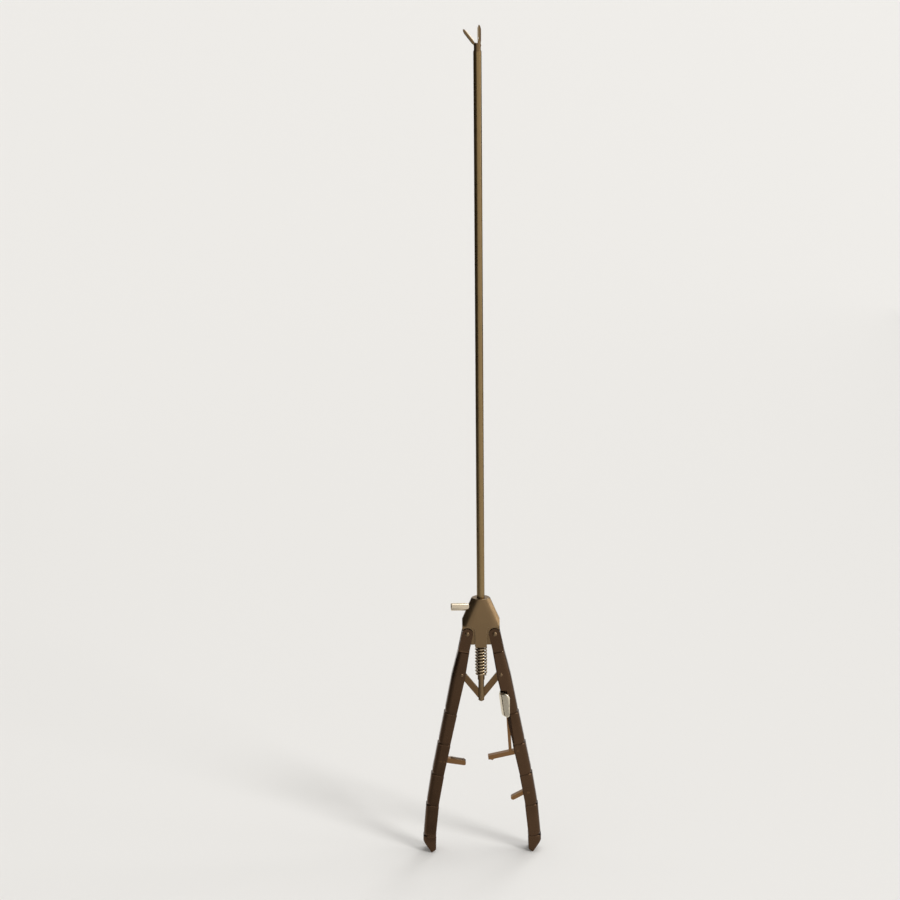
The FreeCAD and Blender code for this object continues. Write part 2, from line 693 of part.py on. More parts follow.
def plain_leg():
    """One leg with its ears, grooves, channel, foot and pin holes, for the right side."""
    body = Part.makeLoft([leg_section(*row) for row in leg_stations()], True, True)
    pivot, _, down = leg_frame(0)
    shoulder = pivot + down * (LEG_TOP + LEG_WIDTH / 4)
    ears = bar_between((pivot.x, pivot.z), (shoulder.x, shoulder.z), EAR_RADIUS, -EAR_DEPTH, EAR_DEPTH)
    body = body.fuse(ears)
    centre, outward, _ = leg_frame(LEG_TOP)
    for side in (-1, 1):
        start = centre - outward * LEG_WIDTH + V(0, side * (EAR_DEPTH + EAR_COVE), 0)
        body = body.cut(Part.makeCylinder(EAR_COVE, 2 * LEG_WIDTH, start, outward))
    body = body.cut(ear_gap()).cut(leg_channel()).cut(foot_cut())
    hole = rod_y(PIVOT_X, PIVOT_Z, PIVOT_PIN_RADIUS + RUNNING, -LEG_DEPTH, LEG_DEPTH)
    body = body.cut(hole)
    return body.cut(rod_y(LINK_PIN_X, LINK_PIN_Z, LINK_PIN_RADIUS, -LEG_DEPTH, LEG_DEPTH))


def pad_axis_at(z):
    """X of the release pad's inner edge at a height."""
    share = (z - PAD_LOW) / (PAD_HIGH - PAD_LOW)
    return PAD_LOW_X + (PAD_HIGH_X - PAD_LOW_X) * share


def pad_section(offset):
    """Half-octagon pocket section of the pad, as (x offset from its edge, y) points."""
    return [
        (PAD_WALL + offset, -PAD_FLOOR_HALF), (PAD_WALL + offset, PAD_FLOOR_HALF),
        (PAD_FLANGE_START + offset, PAD_POCKET_HALF), (3 * LEG_WIDTH, PAD_POCKET_HALF),
        (3 * LEG_WIDTH, -PAD_POCKET_HALF), (PAD_FLANGE_START + offset, -PAD_POCKET_HALF),
    ]


def along_pad(section, low, high):
    """Extrude a section of (x offset, y) points along the pad's slanted inner edge."""
    corners = [V(pad_axis_at(low) + x, y, low) for x, y in section]
    face = Part.Face(Part.makePolygon(corners + corners[:1]))
    return face.extrude(V(pad_axis_at(high) - pad_axis_at(low), 0, high - low))


def pad_travel():
    """How far the top of the pad moves towards the leg when it is pressed."""
    return (PAD_HIGH - RELEASE_Z) * math.tan(math.radians(RELEASE_PRESS))


def release_recess():
    """Cut in the right leg's inner edges that lets the pad and its stem sink in."""
    block = Part.makeBox(
        3 * LEG_WIDTH, 4 * LEG_DEPTH, RECESS_TOP - RECESS_BOTTOM,
        V(PAD_HIGH_X - LEG_WIDTH, -2 * LEG_DEPTH, RECESS_BOTTOM),
    )
    section = pad_section(pad_travel() + 2 * FLAT_GAP)
    kept = along_pad(section, RECESS_BOTTOM - PAD_WALL, RECESS_TOP + PAD_WALL)
    return block.cut(kept)


def flush_pin(x, z, radius, half_length=LEG_DEPTH):
    """Pin along Y that ends flush with the leg's front and back."""
    return rod_y(x, z, radius, -half_length, half_length)


def right_handle():
    """Right leg, with the recess and pin holes for the release lever and the switch."""
    leg = plain_leg().cut(release_recess())
    leg = leg.cut(flush_pin(RELEASE_X, RELEASE_Z, RELEASE_PIN_RADIUS))
    leg = leg.cut(flush_pin(SWITCH_X, SWITCH_Z, SWITCH_PIN_RADIUS))
    return leg.cut(leaf_rivet()).removeSplitter()


def left_handle():
    """Left leg, with the holes for the rack's rivets."""
    return mirrored(plain_leg()).cut(rack_rivets()).removeSplitter()


# Ratchet


def tooth_points():
    """Saw teeth whose points follow the path that the hook takes over the left leg."""
    closed = hook_in_left_leg(CLOSE_ANGLE)
    points = []
    for index in range(TOOTH_COUNT):
        x = closed[0] + TOOTH_PHASE + TOOTH_PITCH * (index - TEETH_PAST_CLOSED)
        base = hook_in_left_leg(angle_for_hook_x(x))[1] - HOOK_PLAY - TOOTH_DEPTH
        tip = base + TOOTH_DEPTH
        points.append((x, base))
        points.append((x, tip))
        points.append((x + TOOTH_LAND, tip))
    return points


def rack_slope():
    """Rise of the rack's tooth line over its length."""
    teeth = tooth_points()
    return (teeth[-1][1] - teeth[1][1]) / (teeth[-1][0] - teeth[1][0])


def rack_root(length):
    """Corners of the rack's root, which runs back from the first tooth by a length."""
    first = tooth_points()[0]
    low = first[1] - RACK_HEIGHT + TOOTH_DEPTH
    drop = rack_slope() * length
    return (first[0] - length, low - drop), (first[0] - length, first[1] - drop)


def rack_rivet_places():
    """Centres of the two rivets through the rack's root."""
    places = []
    for length in (RACK_ROOT_LENGTH - RACK_TENON_LENGTH / 2 - RACK_RIVET_SPACING / 2,
                   RACK_ROOT_LENGTH - RACK_TENON_LENGTH / 2 + RACK_RIVET_SPACING / 2):
        low, high = rack_root(length)
        places.append((low[0], (low[1] + high[1]) / 2))
    return places


def rack_rivets():
    """Two flush rivets that hold the rack in the left leg."""
    pins = [flush_pin(x, z, RACK_RIVET_RADIUS) for x, z in rack_rivet_places()]
    return Part.makeCompound(pins)


def ratchet_rack():
    """Toothed bar on the left leg: its free end rounded, its root a tenon that fills the leg's channel."""
    teeth = tooth_points()
    last = teeth[-1]
    end_x = last[0] + TOOTH_PITCH
    end_top = last[1] - TOOTH_DEPTH
    bottom = (end_x + RACK_END_BEVEL, last[1] - RACK_HEIGHT)
    root_low, root_high = rack_root(RACK_ROOT_LENGTH)
    front_low = rack_root(0)[0]
    outline = teeth + [
        (end_x, end_top), (end_x + RACK_END_BEVEL, end_top - RACK_END_BEVEL), bottom,
        front_low, root_low, root_high,
    ]
    bar = prism(outline, -RACK_HALF_THICK, RACK_HALF_THICK)
    bar = bar.makeFillet(RACK_END_ROUND, edges_at(bar, bottom[0], bottom[1]))
    shoulder_low, shoulder_high = rack_root(RACK_ROOT_LENGTH - RACK_TENON_LENGTH)
    tenon = prism([shoulder_low, root_low, root_high, shoulder_high], -CHANNEL_HALF, CHANNEL_HALF)
    return bar.fuse(tenon).cut(rack_rivets()).removeSplitter()


# Release lever, its pad and its leaf spring


def stem_back_at(z):
    """X of the outer edge of the lever's stem at a height below the pad."""
    share = (z - RELEASE_Z) / (PAD_LOW - RELEASE_Z)
    return STEM_LOW_X + (STEM_HIGH_X - STEM_LOW_X) * share + STEM_WIDTH


def release_lever():
    """Rocker in the right leg: pawl bar with its hook, hub, and stem up to the pad."""
    tilt = math.tan(math.radians(BAR_SLOPE))
    bar_bottom = HOOK_Z + HOOK_DEPTH
    end_x = RELEASE_X
    low_end = bar_bottom + (end_x - HOOK_X) * tilt
    bar = prism([
        (BAR_TIP_X, bar_bottom + BAR_HEIGHT - (HOOK_X - BAR_TIP_X) * tilt),
        (BAR_TIP_X + 3 * HOOK_POINT, HOOK_Z + HOOK_TOOTH + HOOK_POINT),
        (HOOK_X - 2 * HOOK_TOOTH, HOOK_Z + HOOK_TOOTH), (HOOK_X - HOOK_POINT, HOOK_Z),
        (HOOK_X + HOOK_POINT, HOOK_Z), (HOOK_X - HOOK_POINT / 2, HOOK_Z + HOOK_TOOTH),
        (HOOK_X + HOOK_TOOTH, HOOK_Z + HOOK_TOOTH),
        (HOOK_X + HOOK_DEPTH, bar_bottom + HOOK_DEPTH * tilt),
        (end_x, low_end), (end_x, low_end + BAR_HEIGHT),
        (HOOK_X, bar_bottom + BAR_HEIGHT),
    ], -RELEASE_HALF_THICK, RELEASE_HALF_THICK)
    hub_half = CHANNEL_HALF - FLAT_GAP
    hub = rod_y(RELEASE_X, RELEASE_Z, RELEASE_HUB_RADIUS, -hub_half, hub_half)
    stem_base = low_end + BAR_HEIGHT / 2 - (end_x - STEM_LOW_X) * tilt
    stem_top = PAD_HIGH - 2 * PAD_WALL
    top_x = pad_axis_at(stem_top) + PAD_WALL
    jog_z = PAD_LOW + STEM_JOG
    jog_x = pad_axis_at(jog_z) + PAD_WALL
    stem = prism([
        (stem_back_at(stem_base) - STEM_WIDTH, stem_base), (STEM_HIGH_X, PAD_LOW),
        (jog_x, jog_z), (top_x, stem_top), (top_x + STEM_WIDTH / 2, stem_top),
        (STEM_HIGH_X + STEM_WIDTH, PAD_LOW), (stem_back_at(stem_base), stem_base),
    ], -RELEASE_HALF_THICK, RELEASE_HALF_THICK)
    body = bar.fuse(stem).fuse(hub)
    body = body.cut(rod_y(RELEASE_X, RELEASE_Z, RELEASE_PIN_RADIUS + RUNNING, -LEG_DEPTH, LEG_DEPTH))
    return body.cut(pad_rivets()).removeSplitter()


def pad_rivets():
    """Two small rivets that fix the pad to the lever's stem."""
    pins = []
    for share in PAD_RIVET_SHARES:
        z = PAD_LOW + (PAD_HIGH - PAD_LOW) * share
        start = V(pad_axis_at(z) + PAD_WALL / 2, 0, z)
        pins.append(Part.makeCylinder(PAD_RIVET_RADIUS, 2 * PAD_WALL, start, V(1, 0, 0)))
    return Part.makeCompound(pins)


def release_pad():
    """Polished saddle that the thumb presses, wrapped over the leg's inner edge."""
    middle = PAD_REACH_X - PAD_HIGH_X
    squash = FreeCAD.Matrix()
    squash.scale(middle / PAD_HALF_DEPTH, 1, 1)
    circle = Part.Circle(V(0, 0, 0), Z_AXIS, PAD_HALF_DEPTH)
    face = Part.Face(Part.Wire(circle.toShape())).transformGeometry(squash)
    low = PAD_LOW - PAD_HALF_DEPTH
    high = PAD_HIGH + PAD_HALF_DEPTH
    face.translate(V(pad_axis_at(low) + middle, 0, low))
    body = face.extrude(V(pad_axis_at(high) - pad_axis_at(low), 0, high - low))
    corner_x = PAD_HIGH_X - PAD_WALL / 4
    block = prism([
        (PAD_LOW_X - PAD_WALL, PAD_LOW), (PAD_REACH_X, PAD_LOW),
        (PAD_REACH_X, PAD_HIGH), (corner_x, PAD_HIGH),
    ], -2 * PAD_HALF_DEPTH, 2 * PAD_HALF_DEPTH)
    for x, z, radius in (
        (PAD_REACH_X, PAD_LOW, PAD_LOWER_ROUND), (PAD_REACH_X, PAD_HIGH, PAD_OUTER_ROUND),
        (corner_x, PAD_HIGH, PAD_INNER_ROUND),
    ):
        block = block.makeFillet(radius, edges_at(block, x, z))
    body = body.common(block)
    body = body.cut(along_pad(pad_section(0.0), low, high))
    return body.cut(pad_rivets()).removeSplitter()


def leaf_anchor():
    """Point on the channel's outer wall where the leaf spring is riveted, and its direction."""
    station = (PIVOT_Z - LEAF_TOP) / math.cos(math.radians(LEG_TILT))
    centre, outward, down = leg_frame(station)
    wall = (LEG_WIDTH - LEG_STEP) / 2 - LEG_WALL
    return centre + outward * wall, outward, down


def leaf_rivet():
    """Rivet that holds the leaf spring to the right leg's outer wall."""
    place, outward, down = leaf_anchor()
    base = place + down * LEAF_HALF_WIDTH - outward * LEAF_THICK
    return Part.makeCylinder(LEAF_RIVET_RADIUS, LEAF_THICK + LEG_WALL / 2, base, outward)


def leaf_spring():
    """Bent strip that pushes the release lever back; its tip stands just behind the pressed stem."""
    place, outward, down = leaf_anchor()
    foot = place + down * (2 * LEAF_HALF_WIDTH)
    pressed = (LEAF_TIP - RELEASE_Z) * math.tan(math.radians(RELEASE_PRESS))
    tip = V(stem_back_at(LEAF_TIP) + pressed + LEAF_PLAY, 0, LEAF_TIP)
    thick = outward * LEAF_THICK
    strip = [place, foot, tip + thick, tip, foot - thick, place - thick]
    body = prism([(p.x, p.z) for p in strip], -LEAF_HALF_WIDTH, LEAF_HALF_WIDTH)
    return body.cut(leaf_rivet())


def ratchet_switch():
    """Small lever below the ratchet, on its own pin."""
    tip = (SWITCH_TIP_X + SWITCH_HALF_HEIGHT, SWITCH_TIP_Z + SWITCH_HALF_HEIGHT / 2)
    finger = bar_between(
        (SWITCH_X, SWITCH_Z), tip, SWITCH_HALF_HEIGHT, -SWITCH_HALF_THICK, SWITCH_HALF_THICK,
    )
    hub_half = CHANNEL_HALF - FLAT_GAP
    hub = rod_y(SWITCH_X, SWITCH_Z, SWITCH_HUB_RADIUS, -hub_half, hub_half)
    hole = rod_y(SWITCH_X, SWITCH_Z, SWITCH_PIN_RADIUS + RUNNING, -LEG_DEPTH, LEG_DEPTH)
    return finger.fuse(hub).cut(hole).removeSplitter()


# Jaws, modelled closed; the moving one is then turned to its open rest place


def jaw_tip_outline(side, root_z):
    """Half of the closed jaws' outline on one side, from its root to its tip."""
    face = JAW_FACE_GAP + INSERT_THICK
    return [
        (side * face, root_z), (side * face, JAW_TIP - JAW_TIP_WIDTH / 2),
        (side * (face + JAW_TIP_BEVEL), JAW_TIP), (side * (face + JAW_TIP_FLAT), JAW_TIP),
        (side * (face + JAW_TIP_WIDTH), JAW_TIP - JAW_TIP_FLAT),
        (side * SHAFT_RADIUS, JAW_TIP - JAW_TAPER), (side * SHAFT_RADIUS, root_z),
    ]


def inside_shaft_circle(shape, low):
    """Trim a jaw just inside the shaft's round outline."""
    return shape.common(rod_z(JAW_RADIUS, low, JAW_TIP + JAW_OVERLAP))


def jaw_insert(side):
    """Hard plate that forms a jaw's gripping face, drawn for the closed jaws."""
    high = JAW_TIP - JAW_TIP_WIDTH
    plate = Part.makeBox(
        INSERT_THICK, 2 * INSERT_HALF_DEPTH, INSERT_LENGTH,
        V(JAW_FACE_GAP, -INSERT_HALF_DEPTH, high - INSERT_LENGTH),
    )
    if side < 0:
        plate = mirrored(plate)
    return plate


def fixed_jaw():
    """Clevis in the tube's end with the fixed jaw, in one piece."""
    bridge = JAW_PIVOT_Z + CLEVIS_TOP_ABOVE_PIVOT
    body = rod_z(JAW_RADIUS, TUBE_TOP, bridge)
    shank = rod_z(SHAFT_RADIUS - SHAFT_WALL, TUBE_TOP - CLEVIS_SHANK, TUBE_TOP)
    body = body.fuse(shank)
    cut_x = JAW_PIVOT_X + CHEEK_RADIUS
    left_top = prism([
        (-2 * SHAFT_RADIUS, JAW_PIVOT_Z), (cut_x, JAW_PIVOT_Z),
        (cut_x, bridge + JAW_OVERLAP), (-2 * SHAFT_RADIUS, bridge + JAW_OVERLAP),
    ], -SHAFT_RADIUS, SHAFT_RADIUS)
    left_top = left_top.cut(rod_y(JAW_PIVOT_X, JAW_PIVOT_Z, CHEEK_RADIUS, -SHAFT_RADIUS, SHAFT_RADIUS))
    body = body.cut(left_top)
    jaw = inside_shaft_circle(
        prism(jaw_tip_outline(1, bridge - JAW_OVERLAP), -JAW_HALF_DEPTH, JAW_HALF_DEPTH), JAW_PIVOT_Z,
    )
    body = body.fuse(jaw)
    slot_low = tongue_foot() - ROD_STROKE - SHAFT_WALL
    ring_top = TUBE_TOP + SHAFT_WALL
    slot = Part.makeBox(
        4 * SHAFT_RADIUS, 2 * CLEVIS_SLOT_HALF, bridge - SHAFT_WALL - slot_low,
        V(-2 * SHAFT_RADIUS, -CLEVIS_SLOT_HALF, slot_low),
    )
    inner_slot = slot.common(rod_z(SHAFT_RADIUS - SHAFT_WALL, slot_low, ring_top))
    outer_slot = slot.common(rod_z(2 * SHAFT_RADIUS, ring_top, bridge))
    body = body.cut(inner_slot).cut(outer_slot)
    body = body.cut(rod_z(ROD_RADIUS + RUNNING, TUBE_TOP - CLEVIS_SHANK, TUBE_TOP))
    neck = prism([
        (JAW_FACE_GAP, bridge), (JAW_FACE_GAP + INSERT_THICK + NECK_CLEARANCE, bridge + JAW_NECK),
        (JAW_FACE_GAP, bridge + 2 * JAW_NECK), (-SHAFT_RADIUS, bridge + JAW_NECK),
    ], -SHAFT_RADIUS, SHAFT_RADIUS)
    hole = rod_y(JAW_PIVOT_X, JAW_PIVOT_Z, JAW_PIN_RADIUS, -SHAFT_RADIUS, SHAFT_RADIUS)
    return body.cut(neck).cut(hole).removeSplitter()


def cam_point(closed):
    """Drive pin's place in the closed jaw's own frame, for a share of the stroke."""
    open_left = JAW_OPEN * (1 - closed)
    return turned(cam_pin_at(closed), (JAW_PIVOT_X, JAW_PIVOT_Z), -open_left)


def cam_slot(half_width, y0, y1):
    """Curved slot swept by the drive pin, from the open jaw to the closed one."""
    start, middle, end = [V(p[0], y0, p[1]) for p in (cam_point(0), cam_point(0.5), cam_point(1))]
    circle = Part.Circle(start, middle, end)
    centre = circle.Center
    sides = []
    for grow in (half_width, -half_width):
        radius = circle.Radius + grow
        ends = [centre + (p - centre).normalize() * radius for p in (start, middle, end)]
        sides.append(ends)
    outer, inner = sides
    edges = [
        Part.Arc(outer[0], outer[1], outer[2]).toShape(), Part.makeLine(outer[2], inner[2]),
        Part.Arc(inner[2], inner[1], inner[0]).toShape(), Part.makeLine(inner[0], outer[0]),
    ]
    band = Part.Face(Part.Wire(edges)).extrude(V(0, y1 - y0, 0))
    for place in (start, end):
        band = band.fuse(rod_y(place.x, place.z, half_width, y0, y1))
    return band


def moving_jaw():
    """Moving jaw with its hub and the cam plate that the drive pin runs in."""
    root_z = JAW_PIVOT_Z + JAW_ROOT_RADIUS
    jaw = inside_shaft_circle(
        prism(jaw_tip_outline(-1, root_z), -JAW_HALF_DEPTH, JAW_HALF_DEPTH), JAW_PIVOT_Z,
    )
    thin = CLEVIS_SLOT_HALF - FLAT_GAP / 2
    hub = rod_y(JAW_PIVOT_X, JAW_PIVOT_Z, JAW_HUB_RADIUS, -thin, thin)
    neck_top = root_z + JAW_HUB_RADIUS
    neck = prism([
        (JAW_PIVOT_X - NECK_OUTER, JAW_PIVOT_Z), (JAW_PIVOT_X + NECK_INNER, JAW_PIVOT_Z),
        (-JAW_FACE_GAP - INSERT_THICK, neck_top), (JAW_PIVOT_X - NECK_OUTER, neck_top),
    ], -thin, thin)
    jaw = jaw.fuse(neck).fuse(hub)
    outer = CAM_PIN_RADIUS + SLIDING + CAM_WALL
    plate = cam_slot(outer, -thin, -FLAT_GAP / 2)
    start = cam_point(0)
    end = cam_point(1)
    hub_reach = JAW_HUB_RADIUS - FLAT_GAP
    slot_reach = outer - FLAT_GAP
    plate = plate.fuse(prism([
        (JAW_PIVOT_X, JAW_PIVOT_Z + hub_reach), (start[0], start[1] + slot_reach),
        (end[0], end[1] - slot_reach), (JAW_PIVOT_X, JAW_PIVOT_Z - hub_reach),
    ], -thin, -FLAT_GAP / 2))
    jaw = jaw.fuse(plate)
    jaw = jaw.cut(cam_slot(CAM_PIN_RADIUS + SLIDING, -thin, -FLAT_GAP / 2))
    jaw = jaw.cut(rod_y(JAW_PIVOT_X, JAW_PIVOT_Z, JAW_PIN_RADIUS + RUNNING, -thin, thin))
    return jaw.removeSplitter()


def opened(shape):
    """Turn a closed-jaw shape to the open rest place."""
    shape.rotate(V(JAW_PIVOT_X, 0, JAW_PIVOT_Z), Y_AXIS, -JAW_OPEN)
    return shape


def jaw_pivot_pin():
    """Pin through the clevis, trimmed flush with its round outside."""
    pin = rod_y(JAW_PIVOT_X, JAW_PIVOT_Z, JAW_PIN_RADIUS, -SHAFT_RADIUS, SHAFT_RADIUS)
    return pin.common(rod_z(JAW_RADIUS, TUBE_TOP, JAW_TIP))


def jaw_drive_pin():
    """Short pin in the rod's tongue that works the jaw."""
    pin_x, pin_z = cam_pin_at(0)
    half = CLEVIS_SLOT_HALF - FLAT_GAP
    return rod_y(pin_x, pin_z, CAM_PIN_RADIUS, -half, half)


def pivot_pin(side):
    """Domed pin through the ears of one leg and the head's web."""
    half = EAR_DEPTH + RUNNING
    place = (side * PIVOT_X, PIVOT_Z)
    return riveted_pin(*place, PIVOT_PIN_RADIUS, half, PIVOT_DOME_RADIUS, PIVOT_DOME_HEIGHT)


def link_pin(side):
    """Domed pin through one leg that its link hangs on."""
    place = (side * LINK_PIN_X, LINK_PIN_Z)
    return riveted_pin(*place, LINK_PIN_RADIUS, LEG_DEPTH, LINK_DOME_RADIUS, LINK_DOME_HEIGHT)


PIECES = {
    "shaft_tube": shaft_tube,
    "head_block": head_block,
    "flush_port": flush_port,
    "rod_seal": rod_seal,
    "seal_retainer": seal_retainer,
    "rod_guide_bush": guide_bush,
    "left_pivot_pin": lambda: pivot_pin(-1),
    "right_pivot_pin": lambda: pivot_pin(1),
    "drive_rod": drive_rod,
    "rod_sleeve": sleeve,
    "rod_cross_pin": lambda: rod_y(0, ROD_PIN_Z, ROD_PIN_RADIUS, -SLEEVE_RADIUS, SLEEVE_RADIUS),
    "left_link": lambda: link(-1),
    "right_link": lambda: link(1),
    "left_link_pin": lambda: link_pin(-1),
    "right_link_pin": lambda: link_pin(1),
    "return_spring": return_spring,
    "left_handle": left_handle,
    "right_handle": right_handle,
    "ratchet_rack": ratchet_rack,
    "rack_rivets": rack_rivets,
    "release_lever": release_lever,
    "release_pad": release_pad,
    "pad_rivets": pad_rivets,
    "release_lever_pin": lambda: flush_pin(RELEASE_X, RELEASE_Z, RELEASE_PIN_RADIUS),
    "release_leaf_spring": leaf_spring,
    "leaf_spring_rivet": leaf_rivet,
    "ratchet_switch": ratchet_switch,
    "switch_pin": lambda: flush_pin(SWITCH_X, SWITCH_Z, SWITCH_PIN_RADIUS),
    "fixed_jaw": fixed_jaw,
    "fixed_jaw_insert": lambda: jaw_insert(1),
    "moving_jaw": lambda: opened(moving_jaw()),
    "moving_jaw_insert": lambda: opened(jaw_insert(-1)),
    "jaw_pivot_pin": jaw_pivot_pin,
    "jaw_drive_pin": jaw_drive_pin,
}


def main():
    """Build every piece and write it out."""
    os.makedirs("parts", exist_ok=True)
    for name, build in PIECES.items():
        shape = build()
        save(name, shape)
        print(name, len(shape.Solids), "solid(s), volume", round(shape.Volume, 2), "valid", shape.isValid())


main()
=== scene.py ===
"""Looks of a laparoscopic grasper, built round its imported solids."""

import logging
import math
from collections.abc import Callable
from dataclasses import dataclass, field
from enum import Enum

import bpy
from mathutils import Matrix, Vector


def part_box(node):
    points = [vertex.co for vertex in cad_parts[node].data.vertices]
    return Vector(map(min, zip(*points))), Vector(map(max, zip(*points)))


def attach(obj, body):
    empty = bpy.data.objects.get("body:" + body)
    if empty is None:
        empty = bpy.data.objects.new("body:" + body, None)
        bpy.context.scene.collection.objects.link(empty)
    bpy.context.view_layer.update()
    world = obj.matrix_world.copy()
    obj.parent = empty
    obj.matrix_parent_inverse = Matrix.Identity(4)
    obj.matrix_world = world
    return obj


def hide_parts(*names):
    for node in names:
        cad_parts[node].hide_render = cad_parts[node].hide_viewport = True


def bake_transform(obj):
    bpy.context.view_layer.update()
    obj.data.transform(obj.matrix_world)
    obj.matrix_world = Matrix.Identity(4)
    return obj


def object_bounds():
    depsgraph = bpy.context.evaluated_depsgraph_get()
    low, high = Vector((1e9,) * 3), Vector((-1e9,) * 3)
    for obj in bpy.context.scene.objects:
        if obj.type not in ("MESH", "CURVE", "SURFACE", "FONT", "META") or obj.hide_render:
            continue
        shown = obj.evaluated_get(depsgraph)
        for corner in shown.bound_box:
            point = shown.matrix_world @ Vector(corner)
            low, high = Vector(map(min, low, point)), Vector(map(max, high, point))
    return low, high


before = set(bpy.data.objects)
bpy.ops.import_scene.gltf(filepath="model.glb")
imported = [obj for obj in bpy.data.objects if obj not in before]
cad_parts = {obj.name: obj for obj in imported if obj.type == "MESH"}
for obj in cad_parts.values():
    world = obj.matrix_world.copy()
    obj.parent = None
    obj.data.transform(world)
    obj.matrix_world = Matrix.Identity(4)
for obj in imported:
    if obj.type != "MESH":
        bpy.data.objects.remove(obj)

CAD_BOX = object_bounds()
EDGE_MASK = "edge_mask"

MM = 0.001
MERGE = 0.001 * MM
SEAM = 0.0005 * MM
FLAT_ANGLE = 0.4
CRISP_ANGLE = 32.0
TURNED_CRISP_ANGLE = 30.0
SOFT_CRISP_ANGLE = 60.0
TURNING_STEPS = 96

LOG = logging.getLogger("grasper")

Colour = tuple[float, float, float]
Point = tuple[float, float, float]
Profile = list[tuple[float, float]]
Number = bpy.types.NodeSocket | float


class Grain(Enum):
    """The way in which a surface was worked."""

    BLASTED = "blasted"
    TURNED = "turned"
    BRUSHED = "brushed"


class Element(Enum):
    """The elements of a mesh that can be picked."""

    CORNER = "VERT"
    FACE = "FACE"


class Axis(Enum):
    """A direction of the part's own frame."""

    X = "X"
    Y = "Y"
    Z = "Z"

    def direction(self) -> Vector:
        """Gives the axis as a unit vector.

        Returns:
            The unit vector.
        """
        return Vector([float(letter == self.value) for letter in "XYZ"])


# Mesh helpers

def only(piece: bpy.types.Object) -> None:
    """Selects one object and makes it the active one.

    Args:
        piece: The object that the next operators act on.
    """
    if bpy.context.object is not None and bpy.context.object.mode != "OBJECT":
        bpy.ops.object.mode_set(mode="OBJECT")
    bpy.ops.object.select_all(action="DESELECT")
    piece.select_set(True)
    bpy.context.view_layer.objects.active = piece


def in_edit_mode(piece: bpy.types.Object, select: str = "SELECT") -> None:
    """Opens one object in edit mode.

    Args:
        piece: The object to open.
        select: What happens to its selection, as select_all takes it.
    """
    only(piece)
    bpy.ops.object.mode_set(mode="EDIT")
    bpy.ops.mesh.select_mode(type="VERT")
    bpy.ops.mesh.select_all(action=select)


def leave_edit_mode() -> None:
    """Goes back to object mode."""
    bpy.ops.object.mode_set(mode="OBJECT")


def pick(piece: bpy.types.Object, element: Element,
         wanted: Callable[[Vector, Vector], bool]) -> None:
    """Opens a piece in edit mode with only some of its corners or faces selected.

    Args:
        piece: The object to open.
        element: Whether corners or faces are picked.
        wanted: Tells from an element's place and normal whether it is picked.
    """
    in_edit_mode(piece, "DESELECT")
    bpy.ops.mesh.select_mode(type=element.value)
    leave_edit_mode()
    if element is Element.FACE:
        for face in piece.data.polygons:
            face.select = wanted(face.center, face.normal)
    else:
        for corner in piece.data.vertices:
            corner.select = wanted(corner.co, corner.normal)
    bpy.ops.object.mode_set(mode="EDIT")


def smooth_sides(piece: bpy.types.Object, sharp: float) -> None:
    """Shades a piece smooth and keeps its edges crisp.

    Args:
        piece: The piece to shade.
        sharp: Angle in degrees from which an edge stays crisp.
    """
    only(piece)
    bpy.ops.object.shade_smooth_by_angle(angle=math.radians(sharp))


def spun(name: str, centre: Point, axis: Axis, profile: Profile, steps: int) -> bpy.types.Object:
    """Draws a lathe profile point by point and spins it once round its axis.

    Args:
        name: The piece's name.
        centre: A point on the axis, from which the profile is measured.
        axis: The lathe's axis.
        profile: Pairs of radius and distance along the axis.
        steps: Number of steps of the spin.

    Returns:
        The turned piece.
    """
    along = axis.direction()
    across = Axis.Z.direction() if axis is Axis.X else Axis.X.direction()
    points = [Vector(centre) + across * radius + along * reach for radius, reach in profile]
    bpy.ops.object.select_all(action="DESELECT")
    bpy.ops.mesh.primitive_plane_add(size=MM)
    piece = bpy.context.object
    piece.name = name
    in_edit_mode(piece)
    bpy.ops.mesh.merge(type="CENTER")
    bpy.ops.transform.translate(value=points[0])
    for before, after in zip(points, points[1:]):
        bpy.ops.mesh.extrude_vertices_move(TRANSFORM_OT_translate={"value": after - before})
    bpy.ops.mesh.select_all(action="SELECT")
    bpy.ops.mesh.spin(steps=steps, angle=2 * math.pi, center=centre, axis=along)
    bpy.ops.mesh.select_all(action="SELECT")
    bpy.ops.mesh.remove_doubles(threshold=SEAM)
    bpy.ops.mesh.normals_make_consistent(inside=False)
    leave_edit_mode()
    smooth_sides(piece, TURNED_CRISP_ANGLE)
    return piece


# Shader node groups

